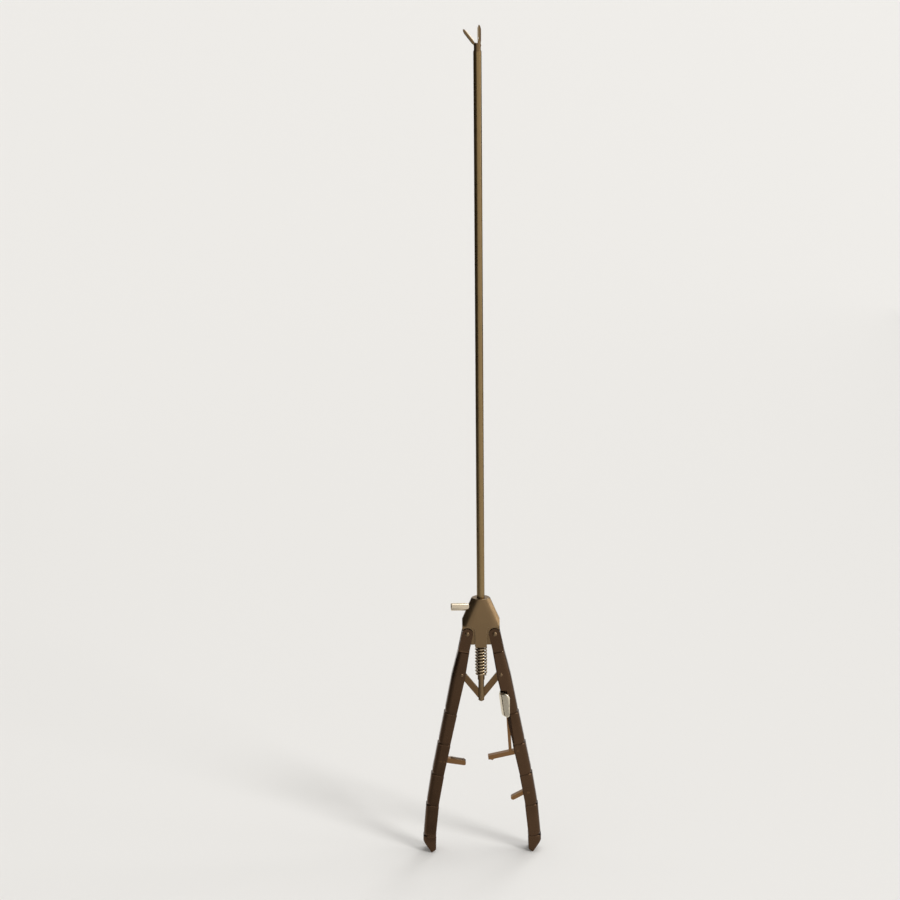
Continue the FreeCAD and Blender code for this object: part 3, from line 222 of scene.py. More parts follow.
class NodeGroup:
    """A shader node group that is built once and placed in many materials."""

    def __init__(self, name: str, inputs: dict[str, float], outputs: list[str]) -> None:
        """Makes the group's sockets.

        Args:
            name: The group's name.
            inputs: Name and default value of each number that goes in.
            outputs: Name of each number that comes out.
        """
        self.tree = bpy.data.node_groups.new(name, "ShaderNodeTree")
        sockets = self.tree.interface
        sockets.new_socket("Vector", in_out="INPUT", socket_type="NodeSocketVector")
        for label, value in inputs.items():
            socket = sockets.new_socket(label, in_out="INPUT", socket_type="NodeSocketFloat")
            socket.default_value = value
        for label in outputs:
            sockets.new_socket(label, in_out="OUTPUT", socket_type="NodeSocketFloat")
        self.entry = self.tree.nodes.new("NodeGroupInput").outputs
        self.exit = self.tree.nodes.new("NodeGroupOutput").inputs

    def feed(self, value: Number, target: bpy.types.NodeSocket) -> None:
        """Joins a socket to another, or sets a number on it.

        Args:
            value: A socket or a number.
            target: The socket that takes it.
        """
        if isinstance(value, bpy.types.NodeSocket):
            self.tree.links.new(value, target)
        else:
            target.default_value = value

    def math(self, operation: str, *values: Number) -> bpy.types.NodeSocket:
        """Adds a math node.

        Args:
            operation: The math node's operation.
            values: Its sockets or numbers, in order.

        Returns:
            The node's output socket.
        """
        node = self.tree.nodes.new("ShaderNodeMath")
        node.operation = operation
        for socket, value in zip(node.inputs, values):
            self.feed(value, socket)
        return node.outputs[0]

    def noise(self, scale: Number, detail: float, roughness: float = 0.5,
              vector: bpy.types.NodeSocket | None = None) -> bpy.types.NodeSocket:
        """Adds a noise texture.

        Args:
            scale: A socket or a number, in waves per metre.
            detail: Number of octaves.
            roughness: How strong the finer octaves are.
            vector: The place on the surface, or None for the group's own.

        Returns:
            The noise's factor.
        """
        node = self.tree.nodes.new("ShaderNodeTexNoise")
        self.feed(self.entry["Vector"] if vector is None else vector, node.inputs["Vector"])
        self.feed(scale, node.inputs["Scale"])
        self.feed(detail, node.inputs["Detail"])
        self.feed(roughness, node.inputs["Roughness"])
        return node.outputs["Fac"]

    def shared(self, first: Number, second: Number, share: float) -> bpy.types.NodeSocket:
        """Adds two values up by their shares.

        Args:
            first: The first value.
            second: The second value.
            share: The first one's share, from 0 to 1.

        Returns:
            The socket of the sum.
        """
        return self.math("ADD", self.math("MULTIPLY", first, share),
                         self.math("MULTIPLY", second, 1 - share))

    def ranged(self, value: Number, low: Number, high: Number) -> bpy.types.NodeSocket:
        """Stretches a range of a value to 0 to 1 and cuts off the rest.

        Args:
            value: The value.
            low: What becomes 0.
            high: What becomes 1.

        Returns:
            The socket of the result.
        """
        node = self.tree.nodes.new("ShaderNodeMapRange")
        for label, number in (("Value", value), ("From Min", low), ("From Max", high)):
            self.feed(number, node.inputs[label])
        return node.outputs[0]


def blasted_group() -> bpy.types.NodeTree:
    """Builds the fine even grain of bead-blasted steel.

    Returns:
        The group's tree, with Height and Tone going out.
    """
    fine_share = 0.35
    group = NodeGroup("blasted_grain", {"Scale": 6000.0, "Patches": 60.0}, ["Height", "Tone"])
    fine = group.noise(group.entry["Scale"], detail=3.0, roughness=0.6)
    broad = group.noise(group.entry["Patches"], detail=4.0, roughness=0.55)
    group.feed(fine, group.exit["Height"])
    group.feed(group.shared(fine, broad, fine_share), group.exit["Tone"])
    return group.tree


def lines_group() -> bpy.types.NodeTree:
    """Builds the long fine lines of a drawn or brushed surface, which run along Z.

    Returns:
        The group's tree, with Height and Tone going out.
    """
    line_share = 0.5
    patches = 45.0
    group = NodeGroup("drawn_lines", {"Scale": 6000.0, "Stretch": 0.02}, ["Height", "Tone"])
    squeeze = group.tree.nodes.new("ShaderNodeCombineXYZ")
    group.feed(1.0, squeeze.inputs["X"])
    group.feed(1.0, squeeze.inputs["Y"])
    group.feed(group.entry["Stretch"], squeeze.inputs["Z"])
    along = group.tree.nodes.new("ShaderNodeVectorMath")
    along.operation = "MULTIPLY"
    group.feed(group.entry["Vector"], along.inputs[0])
    group.feed(squeeze.outputs[0], along.inputs[1])
    lines = group.noise(group.entry["Scale"], detail=4.0, vector=along.outputs[0])
    broad = group.noise(patches, detail=3.0)
    group.feed(lines, group.exit["Height"])
    group.feed(group.shared(lines, broad, line_share), group.exit["Tone"])
    return group.tree


def turned_group() -> bpy.types.NodeTree:
    """Builds the fine rings that a lathe leaves, with the vector's Z along the lathe's axis.

    Returns:
        The group's tree, with Height and Tone going out.
    """
    wavering = 9.0
    half = 0.5
    patches = 80.0
    group = NodeGroup("lathe_rings", {"Scale": 6000.0, "Waver": 40.0}, ["Height", "Tone"])
    parts = group.tree.nodes.new("ShaderNodeSeparateXYZ")
    group.feed(group.entry["Vector"], parts.inputs[0])
    waver = group.noise(group.entry["Waver"], detail=2.0)
    place = group.math("MULTIPLY", parts.outputs["Z"], group.entry["Scale"])
    rings = group.math("SINE", group.math("ADD", place, group.math("MULTIPLY", waver, wavering)))
    group.feed(group.math("MULTIPLY_ADD", rings, half, half), group.exit["Height"])
    group.feed(group.noise(patches, detail=3.0), group.exit["Tone"])
    return group.tree


def wear_and_highlight_group() -> bpy.types.NodeTree:
    """Builds the uneven polish that handling leaves on edges, which also lays a painted highlight
    along them.

    Returns:
        The group's tree, with Mask going out.
    """
    full_wear_and_highlight = 0.62
    group = NodeGroup("edge_wear_and_highlight", {"Edge": 0.0, "Scale": 900.0, "Gap": 0.35}, ["Mask"])
    broken = group.noise(group.entry["Scale"], detail=4.0, roughness=0.6)
    kept = group.ranged(broken, group.entry["Gap"], full_wear_and_highlight)
    group.feed(group.math("MULTIPLY", kept, group.entry["Edge"]), group.exit["Mask"])
    return group.tree


def handling_group() -> bpy.types.NodeTree:
    """Builds faint smears and specks, which change the gloss from place to place.

    Returns:
        The group's tree, with Mask going out.
    """
    speck_start, speck_full = 0.66, 0.74
    group = NodeGroup("handling_marks", {"Scale": 140.0, "Specks": 2600.0}, ["Mask"])
    smear = group.noise(group.entry["Scale"], detail=5.0, roughness=0.65)
    speck = group.noise(group.entry["Specks"], detail=1.0)
    sparse = group.ranged(speck, speck_start, speck_full)
    group.feed(group.math("MAXIMUM", smear, sparse), group.exit["Mask"])
    return group.tree


@dataclass
class ShaderKit:
    """The node groups that the finishes share."""

    grains: dict[Grain, bpy.types.NodeTree] = field(default_factory=dict)
    wear_and_highlight: bpy.types.NodeTree | None = None
    handling: bpy.types.NodeTree | None = None

    def build(self) -> None:
        """Builds each group once."""
        self.grains = {
            Grain.BLASTED: blasted_group(),
            Grain.BRUSHED: lines_group(),
            Grain.TURNED: turned_group(),
        }
        self.wear_and_highlight = wear_and_highlight_group()
        self.handling = handling_group()


KIT = ShaderKit()


# Finishes

def plain_material(name: str) -> bpy.types.Material:
    """Makes a material that holds only its shader.

    Args:
        name: The material's name.

    Returns:
        The material.
    """
    made = bpy.data.materials.new(name)
    made.use_nodes = True
    return made


def shader_of(material: bpy.types.Material) -> bpy.types.bpy_prop_collection:
    """Gives the sockets of a material's shader.

    Args:
        material: The material.

    Returns:
        The shader's inputs.
    """
    return material.node_tree.nodes["Principled BSDF"].inputs


def placed(tree: bpy.types.NodeTree, group: bpy.types.NodeTree,
           place: bpy.types.NodeSocket) -> bpy.types.Node:
    """Places a group in a material's tree.

    Args:
        tree: The material's tree.
        group: The group to place.
        place: The socket that gives the place on the surface.

    Returns:
        The group's node.
    """
    node = tree.nodes.new("ShaderNodeGroup")
    node.node_tree = group
    tree.links.new(place, node.inputs["Vector"])
    return node


def mixed(tree: bpy.types.NodeTree, factor: bpy.types.NodeSocket,
          first: Colour | bpy.types.NodeSocket, second: Colour) -> bpy.types.NodeSocket:
    """Mixes two colours by a factor that changes over the surface.

    Args:
        tree: The material's tree.
        factor: Where the factor comes from.
        first: The colour at 0, or the socket that gives it.
        second: The colour at 1.

    Returns:
        The socket of the mixed colour.
    """
    node = tree.nodes.new("ShaderNodeMix")
    node.data_type = "RGBA"
    share, start, end = node.inputs[0], node.inputs[6], node.inputs[7]
    tree.links.new(factor, share)
    if isinstance(first, bpy.types.NodeSocket):
        tree.links.new(first, start)
    else:
        start.default_value = (*first, 1.0)
    end.default_value = (*second, 1.0)
    return node.outputs[2]


@dataclass(frozen=True)
class MetalFinish:
    """A worked metal surface: its colours, its grain and how its edges are rubbed, with a bright
    edge tone that also paints a highlight.
    """

    name: str
    slot: str
    colour: Colour
    shade: Colour
    # Colour of rubbed edges, kept so bright that it also paints a highlight on every bevelled
    # edge.
    wear_and_highlight_tone: Colour
    gloss: tuple[float, float]
    grain: Grain = Grain.BLASTED
    grain_depth: float = 0.02 * MM
    # Strength of the rubbed edge tone, and so of the painted edge highlight.
    wear_and_highlight: float = 0.8
    turned_about: Axis = Axis.Z
    mark_range: tuple[float, float] = (0.3, 0.75)

    def material(self) -> bpy.types.Material:
        """Builds the finish's material, once.

        Returns:
            The material.
        """
        made = bpy.data.materials.get(self.name)
        if made is not None:
            return made
        made = plain_material(self.name)
        tree = made.node_tree
        shader = shader_of(made)
        shader["Metallic"].default_value = 1.0
        place = self._frame(tree)
        grain = placed(tree, KIT.grains[self.grain], place)
        tree.links.new(self._colour(tree, place, grain), shader["Base Color"])
        tree.links.new(self._roughness(tree, place), shader["Roughness"])
        bump = tree.nodes.new("ShaderNodeBump")
        bump.inputs["Distance"].default_value = self.grain_depth
        tree.links.new(grain.outputs["Height"], bump.inputs["Height"])
        tree.links.new(bump.outputs["Normal"], shader["Normal"])
        return made

    def _frame(self, tree: bpy.types.NodeTree) -> bpy.types.NodeSocket:
        """Turns the piece's own coordinates so that Z runs along the axis of its turning.

        Args:
            tree: The material's tree.

        Returns:
            The socket of the place on the surface.
        """
        quarter = math.pi / 2
        place = tree.nodes.new("ShaderNodeTexCoord")
        turn = tree.nodes.new("ShaderNodeMapping")
        turn.vector_type = "TEXTURE"
        turn.inputs["Rotation"].default_value = {
            Axis.X: (0.0, quarter, 0.0), Axis.Y: (quarter, 0.0, 0.0), Axis.Z: (0.0, 0.0, 0.0),
        }[self.turned_about]
        tree.links.new(place.outputs["Object"], turn.inputs["Vector"])
        return turn.outputs[0]

    def _colour(self, tree: bpy.types.NodeTree, place: bpy.types.NodeSocket,
                grain: bpy.types.Node) -> bpy.types.NodeSocket:
        """Mixes the metal's two tones by its grain, and over its edges the rubbed tone, which is
        partly rubbed metal and partly a painted highlight.

        Args:
            tree: The material's tree.
            place: The socket of the place on the surface.
            grain: The grain's node.

        Returns:
            The socket of the colour.
        """
        # Bevelled edges get a bright tone that is partly real rubbing and partly a painted
        # highlight.
        wear_and_highlight = placed(tree, KIT.wear_and_highlight, place)
        edge = tree.nodes.new("ShaderNodeAttribute")
        edge.attribute_name = EDGE_MASK
        tree.links.new(edge.outputs["Fac"], wear_and_highlight.inputs["Edge"])
        strength = tree.nodes.new("ShaderNodeMath")
        strength.operation = "MULTIPLY"
        strength.inputs[1].default_value = self.wear_and_highlight
        tree.links.new(wear_and_highlight.outputs["Mask"], strength.inputs[0])
        tone = mixed(tree, grain.outputs["Tone"], self.colour, self.shade)
        return mixed(tree, strength.outputs[0], tone, self.wear_and_highlight_tone)

    def _roughness(self, tree: bpy.types.NodeTree,
                   place: bpy.types.NodeSocket) -> bpy.types.NodeSocket:
        """Lets smears and specks change the gloss.

        Args:
            tree: The material's tree.
            place: The socket of the place on the surface.

        Returns:
            The socket of the roughness.
        """
        marks = placed(tree, KIT.handling, place)
        gloss = tree.nodes.new("ShaderNodeMapRange")
        labels = ("From Min", "From Max", "To Min", "To Max")
        for label, value in zip(labels, self.mark_range + self.gloss):
            gloss.inputs[label].default_value = value
        tree.links.new(marks.outputs["Mask"], gloss.inputs["Value"])
        return gloss.outputs[0]


@dataclass(frozen=True)
class RubberFinish:
    """Matt soft rubber of the seal."""

    name: str
    slot: str
    colour: Colour
    bloom: Colour
    roughness: float = 0.75

    def material(self) -> bpy.types.Material:
        """Builds the rubber's material, once.

        Returns:
            The material.
        """
        made = bpy.data.materials.get(self.name)
        if made is not None:
            return made
        made = plain_material(self.name)
        tree = made.node_tree
        shader = shader_of(made)
        shader["Roughness"].default_value = self.roughness
        place = tree.nodes.new("ShaderNodeTexCoord")
        marks = placed(tree, KIT.handling, place.outputs["Object"])
        dusty = mixed(tree, marks.outputs["Mask"], self.colour, self.bloom)
        tree.links.new(dusty, shader["Base Color"])
        return made


Finish = MetalFinish | RubberFinish

# Each finish's bright edge tone and its strength give rubbed edges and also a painted highlight
# along them.
HEAD_STEEL = MetalFinish(
    "blasted_head_steel", "satin_steel", colour=(0.235, 0.158, 0.084),
    shade=(0.17, 0.111, 0.056), wear_and_highlight_tone=(0.8, 0.68, 0.46), gloss=(0.3, 0.44), wear_and_highlight=0.45)
TUBE_STEEL = MetalFinish(
    "drawn_tube_steel", "satin_steel", colour=(0.31, 0.215, 0.103),
    shade=(0.22, 0.148, 0.068), wear_and_highlight_tone=(0.7, 0.58, 0.38), gloss=(0.24, 0.36),
    grain=Grain.BRUSHED, grain_depth=0.003 * MM)
LEG_STEEL = MetalFinish(
    "blasted_leg_steel", "handle_steel", colour=(0.112, 0.064, 0.036),
    shade=(0.052, 0.03, 0.017), wear_and_highlight_tone=(0.85, 0.68, 0.46), gloss=(0.2, 0.34), wear_and_highlight=0.9)
LEG_PIN_STEEL = MetalFinish(
    "flush_pin_steel", "pin_steel", colour=(0.14, 0.078, 0.04),
    shade=(0.09, 0.05, 0.025), wear_and_highlight_tone=(0.3, 0.19, 0.1), gloss=(0.24, 0.36),
    grain=Grain.TURNED, grain_depth=0.002 * MM, turned_about=Axis.Y, wear_and_highlight=0.5)
LINK_STEEL = MetalFinish(
    "blasted_link_steel", "satin_steel", colour=(0.19, 0.115, 0.056),
    shade=(0.12, 0.07, 0.032), wear_and_highlight_tone=(0.6, 0.45, 0.27), gloss=(0.3, 0.42))
RACK_STEEL = MetalFinish(
    "milled_rack_steel", "satin_steel", colour=(0.26, 0.142, 0.064),
    shade=(0.18, 0.095, 0.041), wear_and_highlight_tone=(0.85, 0.68, 0.45), gloss=(0.28, 0.4),
    grain=Grain.BRUSHED, grain_depth=0.005 * MM)
PORT_STEEL = MetalFinish(
    "polished_port_steel", "polished_steel", colour=(0.72, 0.62, 0.48),
    shade=(0.62, 0.52, 0.39), wear_and_highlight_tone=(0.85, 0.78, 0.64), gloss=(0.16, 0.26),
    grain=Grain.TURNED, grain_depth=0.0006 * MM, turned_about=Axis.X)
PAD_STEEL = MetalFinish(
    "polished_pad_steel", "polished_steel", colour=(0.8, 0.73, 0.58),
    shade=(0.7, 0.62, 0.48), wear_and_highlight_tone=(0.9, 0.84, 0.72), gloss=(0.18, 0.3),
    grain_depth=0.0008 * MM)
ROD_STEEL = MetalFinish(
    "ground_rod_steel", "polished_steel", colour=(0.5, 0.4, 0.28),
    shade=(0.4, 0.31, 0.2), wear_and_highlight_tone=(0.7, 0.6, 0.46), gloss=(0.18, 0.28),
    grain=Grain.BRUSHED, grain_depth=0.001 * MM)
PIN_STEEL = MetalFinish(
    "turned_pin_steel", "pin_steel", colour=(0.2, 0.135, 0.078),
    shade=(0.14, 0.09, 0.05), wear_and_highlight_tone=(0.5, 0.38, 0.24), gloss=(0.24, 0.36),
    grain=Grain.TURNED, grain_depth=0.002 * MM, turned_about=Axis.Y)
SPRING_STEEL = MetalFinish(
    "drawn_spring_wire", "spring_steel", colour=(0.54, 0.43, 0.29),
    shade=(0.41, 0.32, 0.2), wear_and_highlight_tone=(0.85, 0.76, 0.62), gloss=(0.15, 0.26),
    grain_depth=0.001 * MM)
INSERT_STEEL = MetalFinish(
    "ground_insert_metal", "hard_insert", colour=(0.82, 0.72, 0.56),
    shade=(0.72, 0.62, 0.47), wear_and_highlight_tone=(0.9, 0.84, 0.72), gloss=(0.3, 0.42),
    grain_depth=0.004 * MM)
BUSH_BRASS = MetalFinish(
    "turned_brass", "bush_brass", colour=(0.62, 0.42, 0.16),
    shade=(0.5, 0.32, 0.11), wear_and_highlight_tone=(0.8, 0.62, 0.3), gloss=(0.22, 0.34),
    grain=Grain.TURNED, grain_depth=0.002 * MM)
SEAL_RUBBER = RubberFinish(
    "seal_rubber", "seal_rubber", colour=(0.02, 0.02, 0.02), bloom=(0.05, 0.048, 0.045))


# Pieces

@dataclass
class SubAssembly:
    """A group of pieces that is built and reported together."""

    label: str = "part"

    def machined(self, node: str, body: str, finish: Finish, rounding: float,
                 segments: int = 2, merge: float = MERGE) -> None:
        """Copies a solid, merges its triangles, rounds its edges and dresses it.

        Args:
            node: The solid's node.
            body: The body that it rides on.
            finish: Its surface.
            rounding: Width of the rounding of its edges.
            segments: Number of faces across the rounding.
            merge: Distance under which corners are merged.
        """
        piece = self.copied(node, merge)
        self._round_edges(piece, rounding, segments)
        smooth_sides(piece, CRISP_ANGLE)
        even = piece.modifiers.new("even_normals", "WEIGHTED_NORMAL")
        even.keep_sharp = True
        bpy.ops.object.modifier_apply(modifier=even.name)
        self.stands_for(piece, node, body, finish)

    @staticmethod
    def _round_edges(piece: bpy.types.Object, rounding: float, segments: int) -> None:
        """Bevels every sharp edge and marks the new faces as edge.

        Args:
            piece: The piece to bevel.
            rounding: Width of the bevel.
            segments: Number of faces across it.
        """
        only(piece)
        for name in ("flat_stand_in", "edge_stand_in"):
            stand_in = bpy.data.materials.get(name) or bpy.data.materials.new(name)
            piece.data.materials.append(stand_in)
        bevel = piece.modifiers.new("rounded_edges", "BEVEL")
        bevel.width = rounding
        bevel.segments = segments
        bevel.limit_method = "ANGLE"
        bevel.angle_limit = math.radians(CRISP_ANGLE)
        bevel.material = 1
        bevel.use_clamp_overlap = True
        bpy.ops.object.modifier_apply(modifier=bevel.name)
        # These bevel faces later take the bright edge tone, which is partly rubbed metal and
        # partly a painted highlight.
        mask = piece.data.attributes.new(EDGE_MASK, "FLOAT", "FACE")
        mask.data.foreach_set(
            "value", [float(face.material_index == 1) for face in piece.data.polygons])
        for face in piece.data.polygons:
            face.material_index = 0

    @staticmethod
    def copied(node: str, merge: float = MERGE, flatten: bool = True) -> bpy.types.Object:
        """Copies a solid's mesh and merges its loose triangles.

        Args:
            node: The solid's node.
            merge: Distance under which corners are merged.
            flatten: Whether triangles of one plane are joined to one face.

        Returns:
            The copy.
        """
        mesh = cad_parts[node].data.copy()
        mesh.materials.clear()
        piece = bpy.data.objects.new(node + "_finished", mesh)
        bpy.context.scene.collection.objects.link(piece)
        in_edit_mode(piece)
        bpy.ops.mesh.remove_doubles(threshold=merge)
        if flatten:
            bpy.ops.mesh.dissolve_limited(angle_limit=math.radians(FLAT_ANGLE))
        leave_edit_mode()
        return piece

    def dress(self, piece: bpy.types.Object, finish: Finish) -> None:
        """Gives a piece its surface and logs it.

        Args:
            piece: The finished shape.
            finish: Its surface.
        """
        piece.data.materials.clear()
        piece.data.materials.append(finish.material())
        LOG.info("%s: %s, %d faces", self.label, piece.name, len(piece.data.polygons))

    def stands_for(self, piece: bpy.types.Object, node: str, body: str, finish: Finish) -> None:
        """Dresses a piece and lets it stand for a node of the frame.

        Args:
            piece: The finished shape.
            node: The node that it replaces.
            body: The body that it rides on.
            finish: Its surface.
        """
        self.dress(piece, finish)
        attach(piece, body)
        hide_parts(node)


@dataclass(frozen=True)
class DomedPin:
    """A riveted pin along Y with the shallow ring that the riveting tool leaves in each dome.

    The ring's place and half its width are shares of the dome's radius.
    """

    node: str
    shank: float
    dome: float
    height: float
    ring: float = 0.55
    ring_width: float = 0.12
    ring_depth: float = 0.06 * MM
    dome_steps: int = 8
    steps: int = 48

    def shape(self) -> bpy.types.Object:
        """Spins the pin with both its domes.

        Returns:
            The pin.
        """
        low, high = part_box(self.node)
        centre = (low + high) / 2
        seat = (high.y - low.y) / 2 - self.height
        half = self._dome(seat)
        profile = half + [(radius, -reach) for radius, reach in reversed(half)]
        return spun(self.node + "_finished", tuple(centre), Axis.Y, profile, self.steps)

    def _dome(self, seat: float) -> Profile:
        """Works out one dome's profile, from its top to the shank.

        Args:
            seat: Distance from the pin's middle to the face that the dome sits on.

        Returns:
            Pairs of radius and distance from the middle.
        """
        ball = (self.dome ** 2 + self.height ** 2) / (2 * self.height)
        points = []
        for step in range(self.dome_steps + 1):
            share = step / self.dome_steps
            radius = self.dome * share
            rise = math.sqrt(ball ** 2 - radius ** 2) - ball + self.height
            near = abs(share - self.ring) < self.ring_width
            points.append((radius, seat + rise - (self.ring_depth if near else 0.0)))
        return points + [(self.shank, seat)]


@dataclass
class Shaft(SubAssembly):
    """The long tube with the rod, bushes and seal inside it."""

    label: str = "shaft"
    outer: float = 2.5 * MM
    wall: float = 0.5 * MM
    groove_depth: float = 0.25 * MM
    groove_length: float = 0.8 * MM
    in_head: float = 14.4 * MM
    lip: float = 0.06 * MM

    def build(self) -> None:
        """Builds the tube and what it holds."""
        self.stands_for(self._tube(), "shaft_tube", "frame", TUBE_STEEL)
        self.machined("drive_rod", "drive_rod", ROD_STEEL, rounding=0.05 * MM)
        self.machined("rod_seal", "frame", SEAL_RUBBER, rounding=0.1 * MM)
        self.machined("seal_retainer", "frame", BUSH_BRASS, rounding=0.1 * MM)
        self.machined("rod_guide_bush", "frame", BUSH_BRASS, rounding=0.05 * MM)

    def _tube(self) -> bpy.types.Object:
        """Spins the tube with the bond groove at the head's mouth and a lip at its upper end.

        Returns:
            The tube.
        """
        low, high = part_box("shaft_tube")
        mouth = low.z + self.in_head
        groove = mouth - self.groove_length
        inner = self.outer - self.wall
        neck = self.outer - self.groove_depth
        profile = [
            (inner, low.z), (self.outer, low.z), (self.outer, groove), (neck, groove),
            (neck, mouth), (self.outer, mouth), (self.outer, high.z - self.lip),
            (self.outer - self.lip, high.z), (inner, high.z), (inner, low.z),
        ]
        centre = (0.0, 0.0, 0.0)
        return spun("shaft_tube_finished", centre, Axis.Z, profile, TURNING_STEPS)


@dataclass
class Head(SubAssembly):
    """The head block with its flush port and both pivots."""

    label: str = "head"
    port_radius: float = 2.42 * MM
    port_bore: float = 1.6 * MM
    port_spigot: float = 2.2 * MM
    port_shoulder: float = 9.8 * MM
    port_bevel: float = 0.5 * MM
    mouth_bevel: float = 0.22 * MM
    bevel_steps: int = 5
    pivot_shank: float = 1.1 * MM
    pivot_dome: float = 1.6 * MM
    pivot_height: float = 0.8 * MM

    def build(self) -> None:
        """Builds the block, the port and the pivots."""
        self.machined("head_block", "frame", HEAD_STEEL, rounding=0.14 * MM, merge=0.03 * MM)
        self.stands_for(self._port(), "flush_port", "frame", PORT_STEEL)
        for node in ("left_pivot_pin", "right_pivot_pin"):
            pin = DomedPin(node, self.pivot_shank, self.pivot_dome, self.pivot_height)
            self.stands_for(pin.shape(), node, "frame", PIN_STEEL)

    def _port(self) -> bpy.types.Object:
        """Spins the port: a spigot in the head, a full stub outside it and a soft mouth.

        Returns:
            The port.
        """
        low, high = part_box("flush_port")
        centre = (0.0, 0.0, (low.z + high.z) / 2)
        profile = [
            (self.port_bore, high.x), (self.port_spigot, high.x),
            (self.port_spigot, -self.port_shoulder), (self.port_radius, -self.port_shoulder),
        ]
        for step in range(self.bevel_steps + 1):
            turn = math.pi / 2 * step / self.bevel_steps
            profile.append((self.port_radius - self.port_bevel * (1 - math.cos(turn)),
                            low.x + 2 * self.port_bevel * (1 - math.sin(turn))))
        profile += [
            (self.port_bore + self.mouth_bevel, low.x), (self.port_bore, low.x + self.mouth_bevel),
            (self.port_bore, high.x),
        ]
        return spun("flush_port_finished", centre, Axis.X, profile, TURNING_STEPS)


@dataclass
class Linkage(SubAssembly):
    """Sleeve, links, their pins and the return spring."""

    label: str = "linkage"
    link_shank: float = 0.8 * MM
    link_dome: float = 1.1 * MM
    link_height: float = 0.45 * MM

    def build(self) -> None:
        """Builds each piece between the rod and the legs."""
        self.machined("rod_sleeve", "drive_rod", HEAD_STEEL, rounding=0.15 * MM, segments=3)
        self.machined("rod_cross_pin", "drive_rod", PIN_STEEL, rounding=0.08 * MM)
        for link in ("left_link", "right_link"):
            self.machined(link, link, LINK_STEEL, rounding=0.2 * MM, segments=3)
        for node, body in (("left_link_pin", "left_handle"), ("right_link_pin", "right_handle")):
            pin = DomedPin(node, self.link_shank, self.link_dome, self.link_height)
            self.stands_for(pin.shape(), node, body, PIN_STEEL)
        self._spring()

    def _spring(self) -> None:
        """Copies the coil, smooths it, dresses it and bakes it in place between the head and the
        sleeve.
        """
        coil = self.copied("return_spring", flatten=False)
        smooth_sides(coil, SOFT_CRISP_ANGLE)
        self.dress(coil, SPRING_STEEL)
        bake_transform(coil)
        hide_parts("return_spring")


@dataclass
class Handles(SubAssembly):
    """The two grooved legs and the pins that lie flush in them."""

    label: str = "handles"

    def build(self) -> None:
        """Builds both legs and their pins."""
        for leg in ("left_handle", "right_handle"):
            self.machined(leg, leg, LEG_STEEL, rounding=0.3 * MM, segments=3)
        for node, body in (("release_lever_pin", "right_handle"), ("switch_pin", "right_handle"),
                           ("rack_rivets", "left_handle")):
            self.machined(node, body, LEG_PIN_STEEL, rounding=0.08 * MM)


@dataclass
class Ratchet(SubAssembly):
    """The rack, the release lever with its pad and spring, and the switch."""

    label: str = "ratchet"
    pad_skin: float = 0.2 * MM
    pad_rub: float = 0.5
    pad_rubs: int = 90
    pad_wall: float = 1.2 * MM

    def build(self) -> None:
        """Builds each piece of the ratchet."""
        self.machined("ratchet_rack", "left_handle", RACK_STEEL, rounding=0.06 * MM)
        self.machined("release_lever", "release_lever", RACK_STEEL, rounding=0.1 * MM)
        self.stands_for(self._pad(), "release_pad", "release_lever", PAD_STEEL)
        self.machined("pad_rivets", "release_lever", PIN_STEEL, rounding=0.06 * MM)
        self.machined("release_leaf_spring", "right_handle", SPRING_STEEL, rounding=0.04 * MM)
        self.machined("leaf_spring_rivet", "right_handle", PIN_STEEL, rounding=0.05 * MM)
        self.machined("ratchet_switch", "ratchet_switch", RACK_STEEL, rounding=0.15 * MM)

    def _pad(self) -> bpy.types.Object:
        """Rubs the pad's outer side to the soft cushion that a thumb feels.

        The walls of its pocket face the core, so they stay as they are and clear the leg.

        Returns:
            The pad.
        """
        pad = self.copied("release_pad", flatten=False)
        only(pad)
        skin = pad.modifiers.new("even_skin", "REMESH")
        skin.mode = "VOXEL"
        skin.voxel_size = self.pad_skin
        bpy.ops.object.modifier_apply(modifier=skin.name)
        low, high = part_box("release_pad")
        core = Vector((high.x, 0.0, (low.z + high.z) / 2))
        pick(pad, Element.CORNER,
             lambda place, normal: normal.dot(place - core) > self.pad_wall)
        bpy.ops.mesh.vertices_smooth(factor=self.pad_rub, repeat=self.pad_rubs)
        leave_edit_mode()
        smooth_sides(pad, SOFT_CRISP_ANGLE)
        return pad


